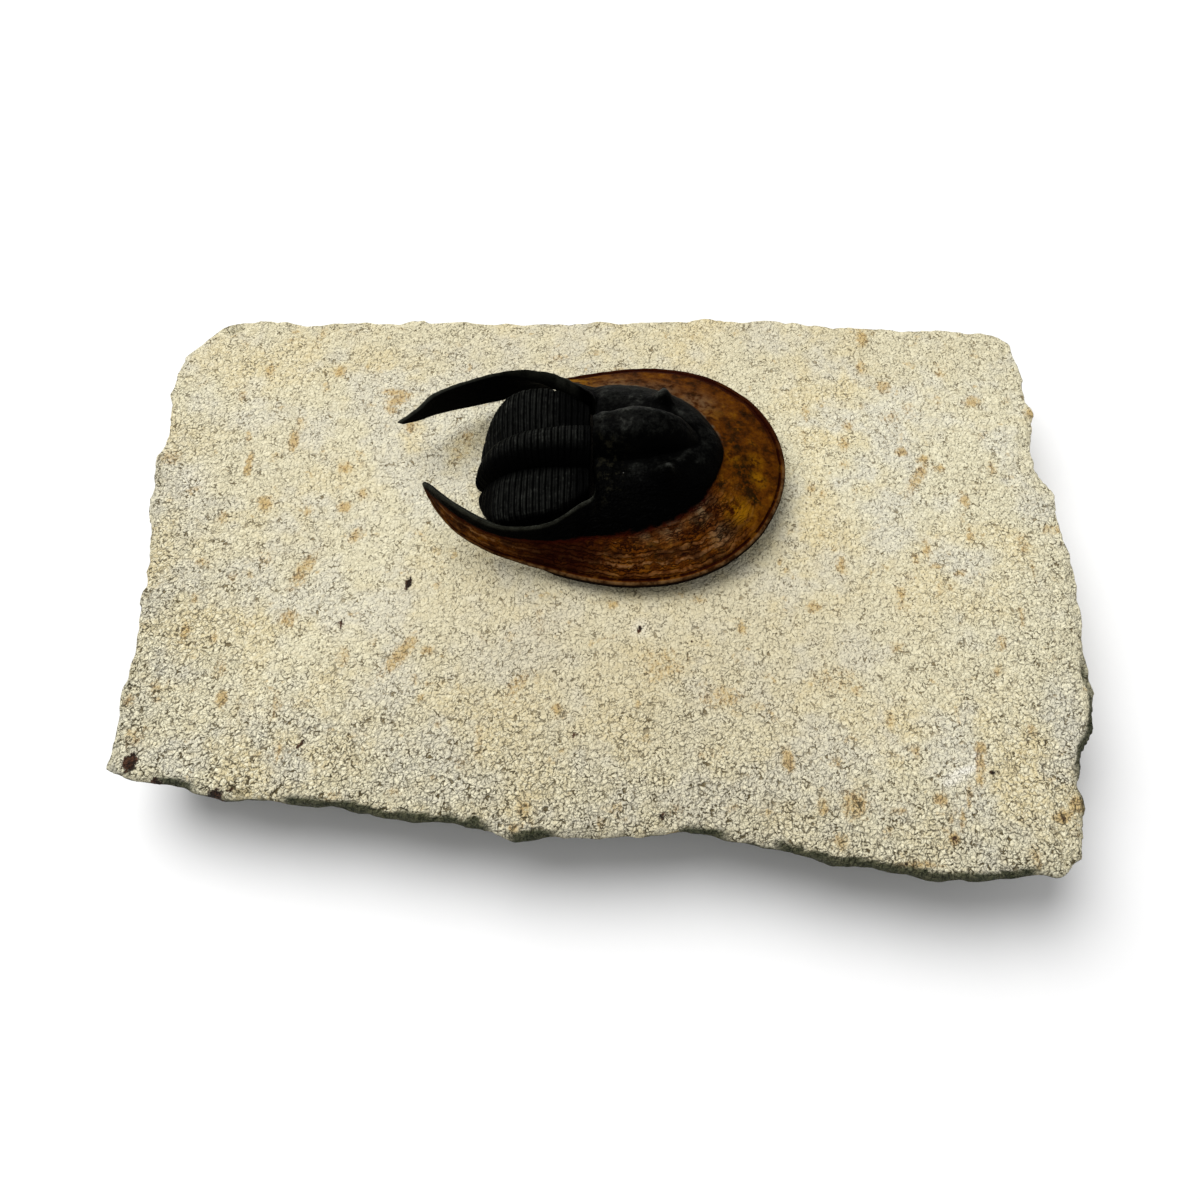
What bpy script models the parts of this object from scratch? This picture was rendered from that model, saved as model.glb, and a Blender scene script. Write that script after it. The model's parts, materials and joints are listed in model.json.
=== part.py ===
"""Horseshoe-headed trilobite of the Scotoharpes kind, prepared on its own block of limestone.

The block lies flat with its origin at the middle of its base. The animal's head points to +X and its midline
runs along X. Inside the functions, u is the place along the animal, v the distance from its midline and w
the height over the top of the block. Sizes are in millimetres, and the meshes are made in metres.
"""
import math

import bmesh
import bpy
from mathutils import Vector, noise

MM = 0.001
MERGE_DISTANCE = 0.00001
SMOOTH_ANGLE = math.radians(40)
# Step along a curve over which its direction is measured
SLOPE_STEP = 0.01

# Block
BLOCK_THICKNESS = 13.0
EDGE_BAND = 2.2
EDGE_ROUNDING = 0.9
# Spacing of the points added on the outline's long runs, and how far they stand off the straight line
OUTLINE_STEP = 4.4
OUTLINE_ROUGHNESS = 0.5
OUTLINE_LUMPS = 0.9
OUTLINE_BIAS = 0.4
# Height of the unevenness of the worked face and of the broken sides, how fine it is and its middle value
TOP_UNEVENNESS = 0.35
TOP_LUMPS = 0.06
TOP_BIAS = -0.5
SIDE_UNEVENNESS = 0.9
SIDE_LUMPS = 0.11
SIDE_LAYERING = 3.0
SIDE_BIAS = -0.25
# Rings of points down the sides (1 is the base) and in over the top (1 is the pedestal's foot)
SIDE_RINGS = (0.72, 0.36, 0.04)
TOP_RINGS = (0.022, 0.2, 0.55)
# How far the base stands back from the upper edge, on each side
BASE_INSET_FRONT = 11.0
BASE_INSET_BACK = 4.0
BASE_INSET_ENDS = 5.0
# Broken outline of the block's upper edge, anticlockwise from the front left corner
BLOCK_OUTLINE = (
    (-58.6, -28.3), (-55.4, -29.4), (-49.5, -30.4), (-46.2, -31.6), (-41.0, -31.9), (-36.8, -32.4),
    (-25.5, -34.1), (-14.8, -35.1), (-10.0, -36.8), (3.0, -36.6), (13.0, -36.4), (17.0, -37.2),
    (26.0, -39.6), (30.5, -39.9), (36.8, -41.1), (41.6, -41.5), (52.2, -40.7), (54.4, -38.6),
    (55.6, -35.6), (56.5, -32.9), (56.1, -30.0), (57.0, -26.9), (59.5, -23.0), (60.3, -18.8),
    (61.0, -8.0), (61.5, -1.2), (60.9, 6.5), (61.8, 10.6), (59.6, 14.9), (60.5, 22.4),
    (61.4, 24.2), (60.5, 26.5), (60.9, 31.7), (60.3, 34.0), (60.0, 37.1), (58.2, 38.8),
    (47.2, 39.8), (40.8, 39.6), (37.6, 40.2), (26.5, 41.3), (14.7, 41.5), (-0.2, 40.9),
    (-26.9, 41.4), (-41.6, 40.6), (-51.1, 41.4), (-57.0, 39.6), (-61.1, 34.5), (-61.8, 27.7),
    (-60.7, 22.9), (-61.6, 15.4), (-61.1, 8.5), (-59.7, 1.2), (-59.0, -5.3), (-58.7, -18.7),
    (-58.5, -24.7),
)

# Animal on the block
FOSSIL_X = -0.2
FOSSIL_Y = 12.5

# Pedestal of rock under the animal: half outline of its foot (u, v) and of its flat top
PEDESTAL_HEIGHT = 3.5
# Rings up its side: (share of the way in from the foot to the top, share of the height)
PEDESTAL_RINGS = ((0.0, 0.0), (0.55, 0.45), (1.0, 1.0))
PEDESTAL_FOOT = ((17.0, 0.0), (15.6, 5.0), (11.5, 10.2), (5.0, 13.0), (-1.5, 12.2), (-8.0, 10.4),
                 (-12.0, 6.5), (-13.2, 0.0))
PEDESTAL_TOP = ((14.6, 0.0), (13.4, 4.0), (9.6, 8.4), (4.4, 10.6), (-1.2, 9.2), (-5.5, 8.2), (-8.0, 4.6),
                (-8.6, 0.0))

# Head shield: one row of (u, v, w) points for each spoke, from the tip of the side blade round to the front.
# MARGIN is the outer edge, FOOT the foot of the black dome and CREST the blade's upper rim, then the hind
# border of the head, then the midline.
MARGIN = ((-22.4, 5.6, 6.8), (-21.8, 7.0, 5.6), (-20.3, 8.9, 4.4), (-18.0, 10.9, 3.3), (-14.5, 12.7, 2.4),
          (-11.0, 13.9, 1.9), (-7.6, 15.0, 1.8), (-4.1, 16.1, 1.7), (-0.7, 16.9, 1.7), (2.6, 17.4, 1.8),
          (6.0, 17.5, 2.0), (9.4, 17.2, 2.2), (12.8, 16.3, 2.5), (16.3, 14.6, 2.8), (19.8, 11.7, 3.1),
          (22.0, 8.7, 3.4), (23.8, 4.7, 3.5), (24.5, 0.0, 3.5))
FOOT = ((-22.4, 5.6, 7.0), (-21.7, 6.8, 7.0), (-20.2, 8.5, 7.6), (-18.0, 10.2, 7.0), (-14.3, 12.1, 6.2),
        (-10.6, 12.9, 5.9), (-7.0, 13.0, 5.5), (-3.6, 12.5, 5.1), (-0.9, 11.9, 4.8), (1.6, 12.0, 5.0),
        (4.6, 11.7, 5.3), (7.6, 10.8, 5.5), (10.2, 9.5, 5.7), (12.4, 7.8, 5.8), (14.2, 5.4, 6.0),
        (15.1, 3.7, 6.1), (15.8, 1.9, 6.3), (16.1, 0.0, 6.4))
CREST = ((-22.4, 5.5, 7.2), (-21.4, 6.8, 8.2), (-20.2, 8.3, 9.0), (-18.0, 9.9, 8.7), (-14.0, 11.8, 7.8),
         (-10.0, 12.4, 7.6), (-6.0, 11.6, 7.6), (-2.6, 9.2, 7.8), (-0.7, 7.4, 7.7), (-0.7, 3.4, 9.2),
         (-0.7, 0.0, 9.6), (2.0, 0.0, 9.8), (5.0, 0.0, 10.0), (7.5, 0.0, 9.9), (9.5, 0.0, 9.6),
         (10.8, 0.0, 9.2), (11.8, 0.0, 8.9), (12.2, 0.0, 8.8))
# The spoke that ends where the hind border meets the midline
CORNER_SPOKE = 10
# How the dome rounds over on each spoke: 1 is straight, 4 is a steep foot and a flat top
DOME_ROUNDING = (1.0, 1.0, 1.05, 1.1, 1.1, 1.15, 1.2, 1.5, 2.2, 3.2, 4.0, 4.0, 4.0, 4.0, 4.0, 4.0, 4.0, 4.0)
# Spokes up to this one are a standing blade, and the ones after it a lying shield
BLADE_SPOKES = 6.5
# Over this many spokes before that one, the blade's rim and inner face change into the shield's
BLADE_CHANGE = 2.5
SPOKE_STEPS = (1, 1, 2, 2, 2, 2, 2, 2, 3, 3, 4, 5, 5, 3, 2, 2, 2)
BRIM_STEPS = (0.0, 0.05, 0.13, 0.5)
DOME_STEPS = (0.0, 0.07, 0.16, 0.27, 0.36, 0.46, 0.58, 0.68, 0.77, 0.87, 1.0)
RIM_RISE = (0.0, 0.22, -0.12, 0.0)
BLADE_RIM_SHARE = 0.3
MARGIN_THICKNESS = 0.5
SHIELD_THICKNESS = 0.95
BLADE_RIM_THICKNESS = 0.4
BLADE_FILLING = 0.85
HEAD_FLOOR = 3.9
# The far blade is the longer one: behind this place it is stretched and turned in, more towards its tip
STRETCH_FROM = -12.0
STRETCH_LENGTH = 10.4
FAR_STRETCH = 0.37
FAR_TURN = 1.2

# Glabella, the raised middle lobe: its crest (u, w) and its half width (u, v)
GLABELLA_CREST = ((-0.7, 12.2), (0.3, 12.6), (1.3, 12.0), (3.0, 13.2), (5.0, 13.7), (7.5, 13.2),
                  (10.0, 11.9), (11.7, 10.4), (13.0, 8.4), (14.4, 5.5))
GLABELLA_WIDTH = ((-0.7, 3.3), (5.0, 3.2), (8.0, 2.9), (11.0, 2.4), (13.0, 1.7), (14.4, 1.2))
GLABELLA_FALL = 4.0
GLABELLA_SQUARENESS = 2.4
CREASE_SOFTNESS = 0.25
# Eye tubercles and the ridges that run from them to the front of the glabella
EYE_PLACE = (8.3, 6.1)
EYE_RISE = 2.2
EYE_RADIUS = 1.35
EYE_RIDGE_END = (11.4, 2.3)
EYE_RIDGE_RISE = 0.45
EYE_RIDGE_RADIUS = 0.8
# How soon above the foot of the dome these rises reach their full height
EYE_FADE = 0.3

# Body: the line of the furrows beside the axis, from the neck to the tail (u, w), with what changes along it
BODY_LINE = ((-1.3, 7.3), (-2.6, 7.4), (-5.2, 7.4), (-7.8, 7.2), (-10.4, 6.6), (-12.8, 5.4), (-14.5, 3.7),
             (-15.4, 2.2), (-15.8, 1.0))
BODY_HALF_WIDTH = (6.8, 8.0, 9.8, 10.6, 10.8, 10.5, 9.0, 6.6, 4.0)
BODY_CURVE = [(u, 0.0, w) for u, w in BODY_LINE]
# The tail bends a little towards the near side
BODY_DRIFT = (0.0, 0.0, 0.0, -0.1, -0.3, -0.6, -1.1, -1.5, -1.8)
SIDE_DRIFT = 0.4
AXIS_HALF_WIDTH = (3.3, 3.2, 3.1, 3.0, 2.9, 2.7, 2.3, 1.8, 1.3)
AXIS_RISE = (2.4, 2.5, 2.45, 2.2, 2.1, 1.8, 1.4, 1.1, 0.7)
BODY_DEPTH = (3.0, 3.0, 3.0, 2.8, 2.6, 2.4, 2.3, 2.2, 2.1)
SEGMENTS = 20
THORAX_LENGTH = 15.9
PYGIDIUM_GAP = 0.3
PYGIDIUM_RIBS = 3
LINE_SAMPLES = 200
# Depth of the grooves and height of the ribs, on the thorax and on the tail plate
THORAX_RELIEF = (-0.12, 0.18)
PYGIDIUM_RELIEF = (-0.09, 0.12)
SIDE_RELIEF_SHARE = 0.8
# Cross-section of the body: (share of the axis, share of its rise) and (share of the side lobe, height)
AXIS_SECTION = ((0.0, 1.0), (0.36, 0.92), (0.7, 0.62), (0.9, 0.26))
SIDE_SECTION = ((0.0, -0.05), (0.3, 0.22), (0.66, 0.3), (0.88, 0.0), (0.97, -0.75), (1.0, -1.9))
UNDERSIDE_SHARE = 0.97

STONE_COLOUR = (0.62, 0.56, 0.43, 1.0)
BLACK_COLOUR = (0.012, 0.013, 0.014, 1.0)


def clear_scene():
    """Remove whatever the scene holds."""
    for thing in list(bpy.data.objects):
        bpy.data.objects.remove(thing)


def material(name, colour, roughness):
    """A plain Principled material."""
    made = bpy.data.materials.new(name)
    made.use_nodes = True
    shader = made.node_tree.nodes["Principled BSDF"]
    shader.inputs["Base Color"].default_value = colour
    shader.inputs["Roughness"].default_value = roughness
    shader.inputs["Metallic"].default_value = 0.0
    made.diffuse_color = colour
    return made


def add_object(name, shape, finish):
    """Turn a bmesh into a named object with faces out and smooth shading."""
    bmesh.ops.recalc_face_normals(shape, faces=shape.faces)
    mesh = bpy.data.meshes.new(name)
    shape.to_mesh(mesh)
    shape.free()
    mesh.materials.append(finish)
    mesh.shade_smooth()
    mesh.set_sharp_from_angle(angle=SMOOTH_ANGLE)
    made = bpy.data.objects.new(name, mesh)
    bpy.context.collection.objects.link(made)
    return made


def spline(points, place):
    """A smooth curve through the points; place counts them from 0 and may lie between two."""
    last = len(points) - 1
    start = min(int(place), last - 1)
    share = place - start
    before = Vector(points[max(start - 1, 0)])
    here = Vector(points[start])
    there = Vector(points[start + 1])
    after = Vector(points[min(start + 2, last)])
    return 0.5 * (2 * here + (there - before) * share
                  + (2 * before - 5 * here + 4 * there - after) * share ** 2
                  + (3 * here - before - 3 * there + after) * share ** 3)


def between(values, place):
    """A straight mix of the two values on either side of place."""
    start = min(int(place), len(values) - 2)
    share = place - start
    return values[start] * (1 - share) + values[start + 1] * share


def along(table, u):
    """The value at u in a table of (u, value) pairs, on a smooth curve."""
    u = min(max(u, table[0][0]), table[-1][0])
    start = max(index for index, pair in enumerate(table[:-1]) if pair[0] <= u)
    share = (u - table[start][0]) / (table[start + 1][0] - table[start][0])
    return spline([(value, 0.0) for _, value in table], start + share)[0]


def direction_at(points, place):
    """The direction of a smooth curve at a place."""
    last = len(points) - 1
    ahead = spline(points, min(place + SLOPE_STEP, last))
    behind = spline(points, max(place - SLOPE_STEP, 0.0))
    return (ahead - behind).normalized()


def stations(steps):
    """Places along the spokes, with the given number of rows between each two of them."""
    places = [index + part / count for index, count in enumerate(steps) for part in range(count)]
    return places + [float(len(steps))]


def link(shape, grid):
    """Fill a grid of vertices with faces."""
    for row, below in zip(grid[:-1], grid[1:]):
        for corner in range(len(row) - 1):
            shape.faces.new((row[corner], row[corner + 1], below[corner + 1], below[corner]))


# Block

def block_outline():
    """The broken upper edge with points added on its long runs, each a little off the straight line."""
    points = []
    for start, end in zip(BLOCK_OUTLINE, BLOCK_OUTLINE[1:] + BLOCK_OUTLINE[:1]):
        start = Vector(start)
        run = Vector(end) - start
        count = max(1, round(run.length / OUTLINE_STEP))
        inward = Vector((-run.y, run.x)).normalized()
        points.append(start)
        for part in range(1, count):
            spot = start + run * part / count
            lumps = noise.noise(spot.to_3d() * OUTLINE_LUMPS)
            points.append(spot + inward * OUTLINE_ROUGHNESS * (lumps + OUTLINE_BIAS))
    return points


def base_point(spot):
    """The place on the base under a point of the upper edge: further in at the front than elsewhere."""
    half_length = max(point[0] for point in BLOCK_OUTLINE)
    half_width = max(point[1] for point in BLOCK_OUTLINE)
    to_front = (half_width - spot.y) / (2 * half_width)
    shift = BASE_INSET_FRONT * to_front - BASE_INSET_BACK * (1 - to_front)
    return Vector((spot.x * (1 - BASE_INSET_ENDS / half_length), spot.y + shift))


def ring_point(spot, share, height, uneven):
    """A point of a side ring: share 0 is the upper edge and 1 the base."""
    place = spot.lerp(base_point(spot), share)
    lumps = noise.noise(Vector((spot.x, spot.y, height * SIDE_LAYERING)) * SIDE_LUMPS)
    place += spot.normalized() * uneven * (lumps + SIDE_BIAS)
    return Vector((place.x, place.y, height))


def half_ring(half, direction):
    """Where a ray from the middle of the animal crosses a closed outline given by its far half."""
    closed = [Vector(point) for point in half] + [Vector((u, -v)) for u, v in reversed(half[1:-1])]
    reaches = []
    for start, end in zip(closed, closed[1:] + closed[:1]):
        side = end - start
        cross = direction.cross(side)
        if cross == 0.0:
            continue
        share = start.cross(direction) / cross
        if 0.0 <= share <= 1.0:
            reaches.append(start.cross(side) / cross)
    return direction * max(reaches)


def top_point(spot):
    """A point on the slightly uneven worked face."""
    lumps = noise.noise(spot.to_3d() * TOP_LUMPS)
    return Vector((spot.x, spot.y, BLOCK_THICKNESS + TOP_UNEVENNESS * (lumps + TOP_BIAS)))


def pedestal_point(direction, inward, height):
    """A point of the pedestal's side in a direction from the middle of the animal."""
    middle = Vector((FOSSIL_X, FOSSIL_Y))
    place = middle + half_ring(PEDESTAL_FOOT, direction).lerp(half_ring(PEDESTAL_TOP, direction), inward)
    level = BLOCK_THICKNESS + PEDESTAL_HEIGHT * height
    return Vector((place.x, place.y, level if height else top_point(place).z))


def block_rings():
    """Closed rings of points: the base, the broken sides, the worked face and the pedestal."""
    outline = block_outline()
    middle = Vector((FOSSIL_X, FOSSIL_Y))
    under_band = BLOCK_THICKNESS - EDGE_BAND
    rings = [[ring_point(spot, 1.0, 0.0, 0.0) for spot in outline]]
    for share in SIDE_RINGS:
        height = under_band * (1 - share)
        rings.append([ring_point(spot, share, height, SIDE_UNEVENNESS) for spot in outline])
    rings.append([Vector((spot.x, spot.y, BLOCK_THICKNESS - EDGE_ROUNDING)) for spot in outline])
    rays = [(spot - middle).normalized() for spot in outline]
    for share in TOP_RINGS:
        feet = [middle + half_ring(PEDESTAL_FOOT, ray) for ray in rays]
        rings.append([top_point(spot.lerp(foot, share)) for spot, foot in zip(outline, feet)])
    for inward, height in PEDESTAL_RINGS:
        rings.append([pedestal_point(ray, inward, height) for ray in rays])
    return rings


def make_block(finish):
    """The block of limestone with the pedestal that carries the animal, in one piece."""
    shape = bmesh.new()
    rings = [[shape.verts.new(point * MM) for point in ring] for ring in block_rings()]
    link(shape, [ring + ring[:1] for ring in rings])
    shape.faces.new(rings[0])
    summit = shape.verts.new(Vector((FOSSIL_X, FOSSIL_Y, BLOCK_THICKNESS + PEDESTAL_HEIGHT)) * MM)
    for start, end in zip(rings[-1], rings[-1][1:] + rings[-1][:1]):
        shape.faces.new((start, end, summit))
    return add_object("matrix_slab", shape, finish)


# Head

def mirrored_end(table):
    """A table that goes on past the midline, so that the curve crosses the midline squarely."""
    u, v, w = table[-2]
    return table + ((u, -v, w),)


def glabella_height(u, v):
    """Height of the middle lobe; beside the lobe it falls below the cheeks."""
    crest = along(GLABELLA_CREST, u)
    share = abs(v) / along(GLABELLA_WIDTH, u)
    return crest - GLABELLA_FALL * share ** GLABELLA_SQUARENESS


def eye_height(u, v):
    """Rise of the eye tubercle and of the ridge from it to the glabella."""
    spot = Vector((u, abs(v)))
    eye = Vector(EYE_PLACE)
    ridge = Vector(EYE_RIDGE_END) - eye
    share = min(max((spot - eye).dot(ridge) / ridge.length_squared, 0.0), 1.0)
    off_ridge = (spot - eye - ridge * share).length
    tubercle = EYE_RISE * math.exp(-((spot - eye).length / EYE_RADIUS) ** 2)
    return tubercle + EYE_RIDGE_RISE * math.exp(-(off_ridge / EYE_RIDGE_RADIUS) ** 2)


def dome_height(place, share):
    """Height of the dome with the glabella and the eyes; share 0 is the foot of the dome and 1 its crest."""
    lobe = glabella_height(place.x, place.y)
    crease = math.hypot(place.z - lobe, CREASE_SOFTNESS)
    return 0.5 * (place.z + lobe + crease) + eye_height(place.x, place.y) * share ** EYE_FADE


def lying_share(row):
    """How far a spoke belongs to the lying shield: 0 is the standing blade and 1 the shield."""
    return min(max(1 - (BLADE_SPOKES - row) / BLADE_CHANGE, 0.0), 1.0)


def shield_points(row):
    """The points of one spoke over the upper side of the head shield, from the margin to the crest."""
    margin = spline(mirrored_end(MARGIN), row)
    foot = spline(mirrored_end(FOOT), row)
    crest = spline(mirrored_end(CREST), row)
    points = [margin.lerp(foot, share) for share in BRIM_STEPS]
    rounding = between(DOME_ROUNDING, row)
    on_dome = min(max(row - BLADE_SPOKES - 0.5, 0.0), 1.0)
    for share in DOME_STEPS:
        place = foot.lerp(crest, share)
        place.z = foot.z + (crest.z - foot.z) * (1 - (1 - share) ** rounding)
        place.z += (dome_height(place, share) - place.z) * on_dome
        points.append(place)
    return points


def raised_rim(points, row):
    """The same points with the brim's raised rim along the margin."""
    across = points[len(BRIM_STEPS)] - points[0]
    outward = across.cross(direction_at(mirrored_end(MARGIN), row)).normalized()
    if outward.z < 0:
        outward.negate()
    relief = BLADE_RIM_SHARE + (1 - BLADE_RIM_SHARE) * lying_share(row)
    rises = RIM_RISE + (0.0,) * len(DOME_STEPS)
    return [point + outward * rise * relief for point, rise in zip(points, rises)]


def under_points(points, row):
    """The points of the underside, or of the blade's inner face, that belong to one spoke's upper side."""
    lying = lying_share(row)
    along_rim = direction_at(mirrored_end(CREST), row)
    inward = Vector((along_rim.y, -along_rim.x, 0.0)).normalized()
    under = []
    for point, share in zip(points, BRIM_STEPS + (1.0,) * len(DOME_STEPS)):
        thickness = MARGIN_THICKNESS + (SHIELD_THICKNESS - MARGIN_THICKNESS) * share
        below = Vector((point.x, point.y, min(point.z - thickness, HEAD_FLOOR)))
        filling = BLADE_FILLING * max((points[-1] - point).dot(inward), 0.0)
        inside = point + inward * (BLADE_RIM_THICKNESS + filling)
        under.append(inside.lerp(below, lying))
    return under


def placed(point, side):
    """Put a point of the far half on its side of the midline and set it on the block."""
    return Vector((point.x + FOSSIL_X, point.y * side + FOSSIL_Y, point.z + BLOCK_THICKNESS)) * MM


def far_blade(point):
    """Stretch the far blade backwards and turn its tip in."""
    behind = max(STRETCH_FROM - point.x, 0.0)
    share = behind / STRETCH_LENGTH
    return point + Vector((-behind * FAR_STRETCH * share ** 2, -FAR_TURN * share ** 2, 0.0))


def head_spoke(row, side):
    """Upper side and underside of one spoke, with the far blade stretched and the midline kept straight."""
    plain = shield_points(row)
    inner = under_points(plain, row)
    points = raised_rim(plain, row)
    if row >= CORNER_SPOKE:
        points[-1].y = 0.0
        inner[-1].y = 0.0
    if row == len(SPOKE_STEPS):
        for point in points + inner:
            point.y = 0.0
    if side > 0:
        points = [far_blade(point) for point in points]
        inner = [far_blade(point) for point in inner]
    return points, inner


def half_head(shape, side):
    """Upper side, underside and edges of one half of the head shield with its blade."""
    rows = stations(SPOKE_STEPS)
    upper = []
    under = []
    for row in rows:
        points, inner = head_spoke(row, side)
        upper.append([shape.verts.new(placed(point, side)) for point in points])
        under.append([shape.verts.new(placed(point, side)) for point in inner])
    link(shape, upper)
    link(shape, under)
    link(shape, [[row[0] for row in upper], [row[0] for row in under]])
    corner = rows.index(float(CORNER_SPOKE)) + 1
    link(shape, [[row[-1] for row in upper[:corner]], [row[-1] for row in under[:corner]]])
    link(shape, [upper[0], under[0]])


def make_head(finish):
    """Head shield: brim, dome, glabella, eyes and the two blades that run back beside the body."""
    shape = bmesh.new()
    for side in (1, -1):
        half_head(shape, side)
    bmesh.ops.remove_doubles(shape, verts=shape.verts, dist=MERGE_DISTANCE)
    return add_object("cephalon", shape, finish)


# Body

def body_centre(place):
    """The point of the furrow line at a place."""
    return spline(BODY_CURVE, place)


def body_length():
    """Length of the body's line from the neck to the end of the tail."""
    last = len(BODY_LINE) - 1
    points = [body_centre(last * step / LINE_SAMPLES) for step in range(LINE_SAMPLES + 1)]
    return sum((end - start).length for start, end in zip(points, points[1:]))


def place_at(length):
    """The place on the body's line at a length measured along it from the neck."""
    last = len(BODY_LINE) - 1
    walked = 0.0
    for step in range(LINE_SAMPLES):
        start = last * step / LINE_SAMPLES
        end = last * (step + 1) / LINE_SAMPLES
        stride = (body_centre(end) - body_centre(start)).length
        if walked + stride >= length:
            return start + (end - start) * (length - walked) / stride
        walked += stride
    return float(last)


def body_section(place, relief):
    """A closed cross-section of the body at a place on its line, with a rib's rise or fall on top."""
    centre = body_centre(place)
    direction = direction_at(BODY_CURVE, place)
    up = Vector((direction.z, 0.0, -direction.x))
    axis = between(AXIS_HALF_WIDTH, place)
    lobe = between(BODY_HALF_WIDTH, place) - axis
    rise = between(AXIS_RISE, place)
    half = [(axis * share, rise * height + relief) for share, height in AXIS_SECTION]
    half += [(axis + lobe * share, height + relief * SIDE_RELIEF_SHARE) for share, height in SIDE_SECTION]
    half.append((axis + lobe * UNDERSIDE_SHARE, -between(BODY_DEPTH, place)))
    points = []
    for v, h in half[::-1] + [(-v, h) for v, h in half[1:]]:
        sideways = min(abs(v) / (axis + lobe), 1.0)
        drift = between(BODY_DRIFT, place) * (1 - (1 - SIDE_DRIFT) * sideways)
        points.append(centre + up * h + Vector((0.0, v + drift, 0.0)))
    return points


def ribbed_body(name, places, finish):
    """A closed ribbed shell from (place, relief) pairs along the body's line."""
    shape = bmesh.new()
    sections = []
    for place, relief in places:
        sections.append([shape.verts.new(placed(point, 1)) for point in body_section(place, relief)])
    link(shape, [section + section[:1] for section in sections])
    shape.faces.new(sections[0])
    shape.faces.new(sections[-1])
    return add_object(name, shape, finish)


def rib_places(start, length, ribs, groove, crest):
    """Places of the grooves and crests of a row of ribs, with their relief."""
    places = []
    for rib in range(ribs):
        places.append((place_at(start + length * rib / ribs), groove))
        places.append((place_at(start + length * (rib + 0.5) / ribs), crest))
    places.append((place_at(start + length), groove))
    return places


def make_thorax(finish):
    """The many narrow ring segments of the body, grown together as ribs of one piece."""
    return ribbed_body("thorax", rib_places(0.0, THORAX_LENGTH, SEGMENTS, *THORAX_RELIEF), finish)


def make_pygidium(finish):
    """The small tail plate, which curls down to the rock."""
    start = THORAX_LENGTH + PYGIDIUM_GAP
    length = body_length() - start
    return ribbed_body("pygidium", rib_places(start, length, PYGIDIUM_RIBS, *PYGIDIUM_RELIEF), finish)


def main():
    """Build the four pieces."""
    clear_scene()
    stone = material("limestone", STONE_COLOUR, 0.9)
    black = material("black_calcite", BLACK_COLOUR, 0.45)
    make_block(stone)
    make_head(black)
    make_thorax(black)
    make_pygidium(black)


main()
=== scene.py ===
"""Looks of a horseshoe-headed trilobite that stands in relief on its block of limestone.

The head points to +X and the midline runs along X. Inside the shape functions, u is the place along the
animal, v the distance from its midline and w the height over the block's top, all in millimetres. Meshes are
in metres.
"""
import json
import math

import bmesh
import bpy
import numpy as np
from bpy.props import FloatProperty, FloatVectorProperty, IntProperty, PointerProperty
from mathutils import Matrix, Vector, kdtree, noise

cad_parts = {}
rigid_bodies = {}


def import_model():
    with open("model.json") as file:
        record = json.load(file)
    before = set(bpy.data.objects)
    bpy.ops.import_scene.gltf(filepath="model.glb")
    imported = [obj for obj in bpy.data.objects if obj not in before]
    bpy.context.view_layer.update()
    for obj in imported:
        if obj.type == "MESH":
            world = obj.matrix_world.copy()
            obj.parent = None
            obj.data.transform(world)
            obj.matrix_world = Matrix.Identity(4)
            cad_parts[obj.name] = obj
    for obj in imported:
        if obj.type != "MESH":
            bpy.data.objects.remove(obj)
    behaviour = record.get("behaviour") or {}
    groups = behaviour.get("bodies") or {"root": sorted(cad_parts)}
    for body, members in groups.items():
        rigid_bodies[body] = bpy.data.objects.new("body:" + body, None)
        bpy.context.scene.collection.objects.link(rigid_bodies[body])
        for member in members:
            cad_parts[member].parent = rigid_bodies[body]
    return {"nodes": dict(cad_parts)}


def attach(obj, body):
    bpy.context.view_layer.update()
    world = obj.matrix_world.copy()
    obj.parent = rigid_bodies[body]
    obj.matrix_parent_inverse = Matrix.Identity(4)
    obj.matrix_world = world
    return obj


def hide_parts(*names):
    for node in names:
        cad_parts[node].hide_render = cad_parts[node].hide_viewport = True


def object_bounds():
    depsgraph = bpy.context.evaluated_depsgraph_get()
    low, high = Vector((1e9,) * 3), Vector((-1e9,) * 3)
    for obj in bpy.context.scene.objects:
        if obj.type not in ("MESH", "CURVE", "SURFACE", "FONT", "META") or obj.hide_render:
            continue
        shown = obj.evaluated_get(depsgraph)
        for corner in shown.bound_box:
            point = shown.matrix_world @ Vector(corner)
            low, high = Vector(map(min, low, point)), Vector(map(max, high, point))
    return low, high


bl_info = {
    "name": "Trilobite on its block",
    "version": (1, 0, 0),
    "blender": (4, 5, 0),
    "location": "3D View > Sidebar > Trilobite",
    "description": "Builds the detailed fossil, its block of limestone and the studio around them",
    "category": "Add Mesh",
}

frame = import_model()
CAD_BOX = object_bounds()
MM = 0.001

# Studio: the lens's sensor and the floor's width, and the large light's place, width and aim, in metres
SENSOR_WIDTH = 36.0
FLOOR_WIDTH = 4.0
WINDOW_PLACE = (-0.24, 0.24, 0.7)
WINDOW_WIDTH = 0.7
WINDOW_AIM = (0.0, 0.0, 0.01)
PAPER_SHADE = 0.985

# Where the animal's own frame stands on the block, and the height of the block's worked face
FOSSIL_X = -0.2
FOSSIL_Y = 12.5
FACE_HEIGHT = 13.0

# The photo's side in pixels, and its camera: the height angle in degrees, the aim and the distance from it in
# millimetres, the focal length in pixels, and how much an oval of the worked face is shortened front to back
IMAGE_SIDE = 1200.0
PHOTO_SLOPE = 62.0
PHOTO_AIM = (-0.2, -6.0, FACE_HEIGHT)
PHOTO_DISTANCE = 135.0
PHOTO_FOCAL = 1060.0
FORESHORTENING = 0.86

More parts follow.
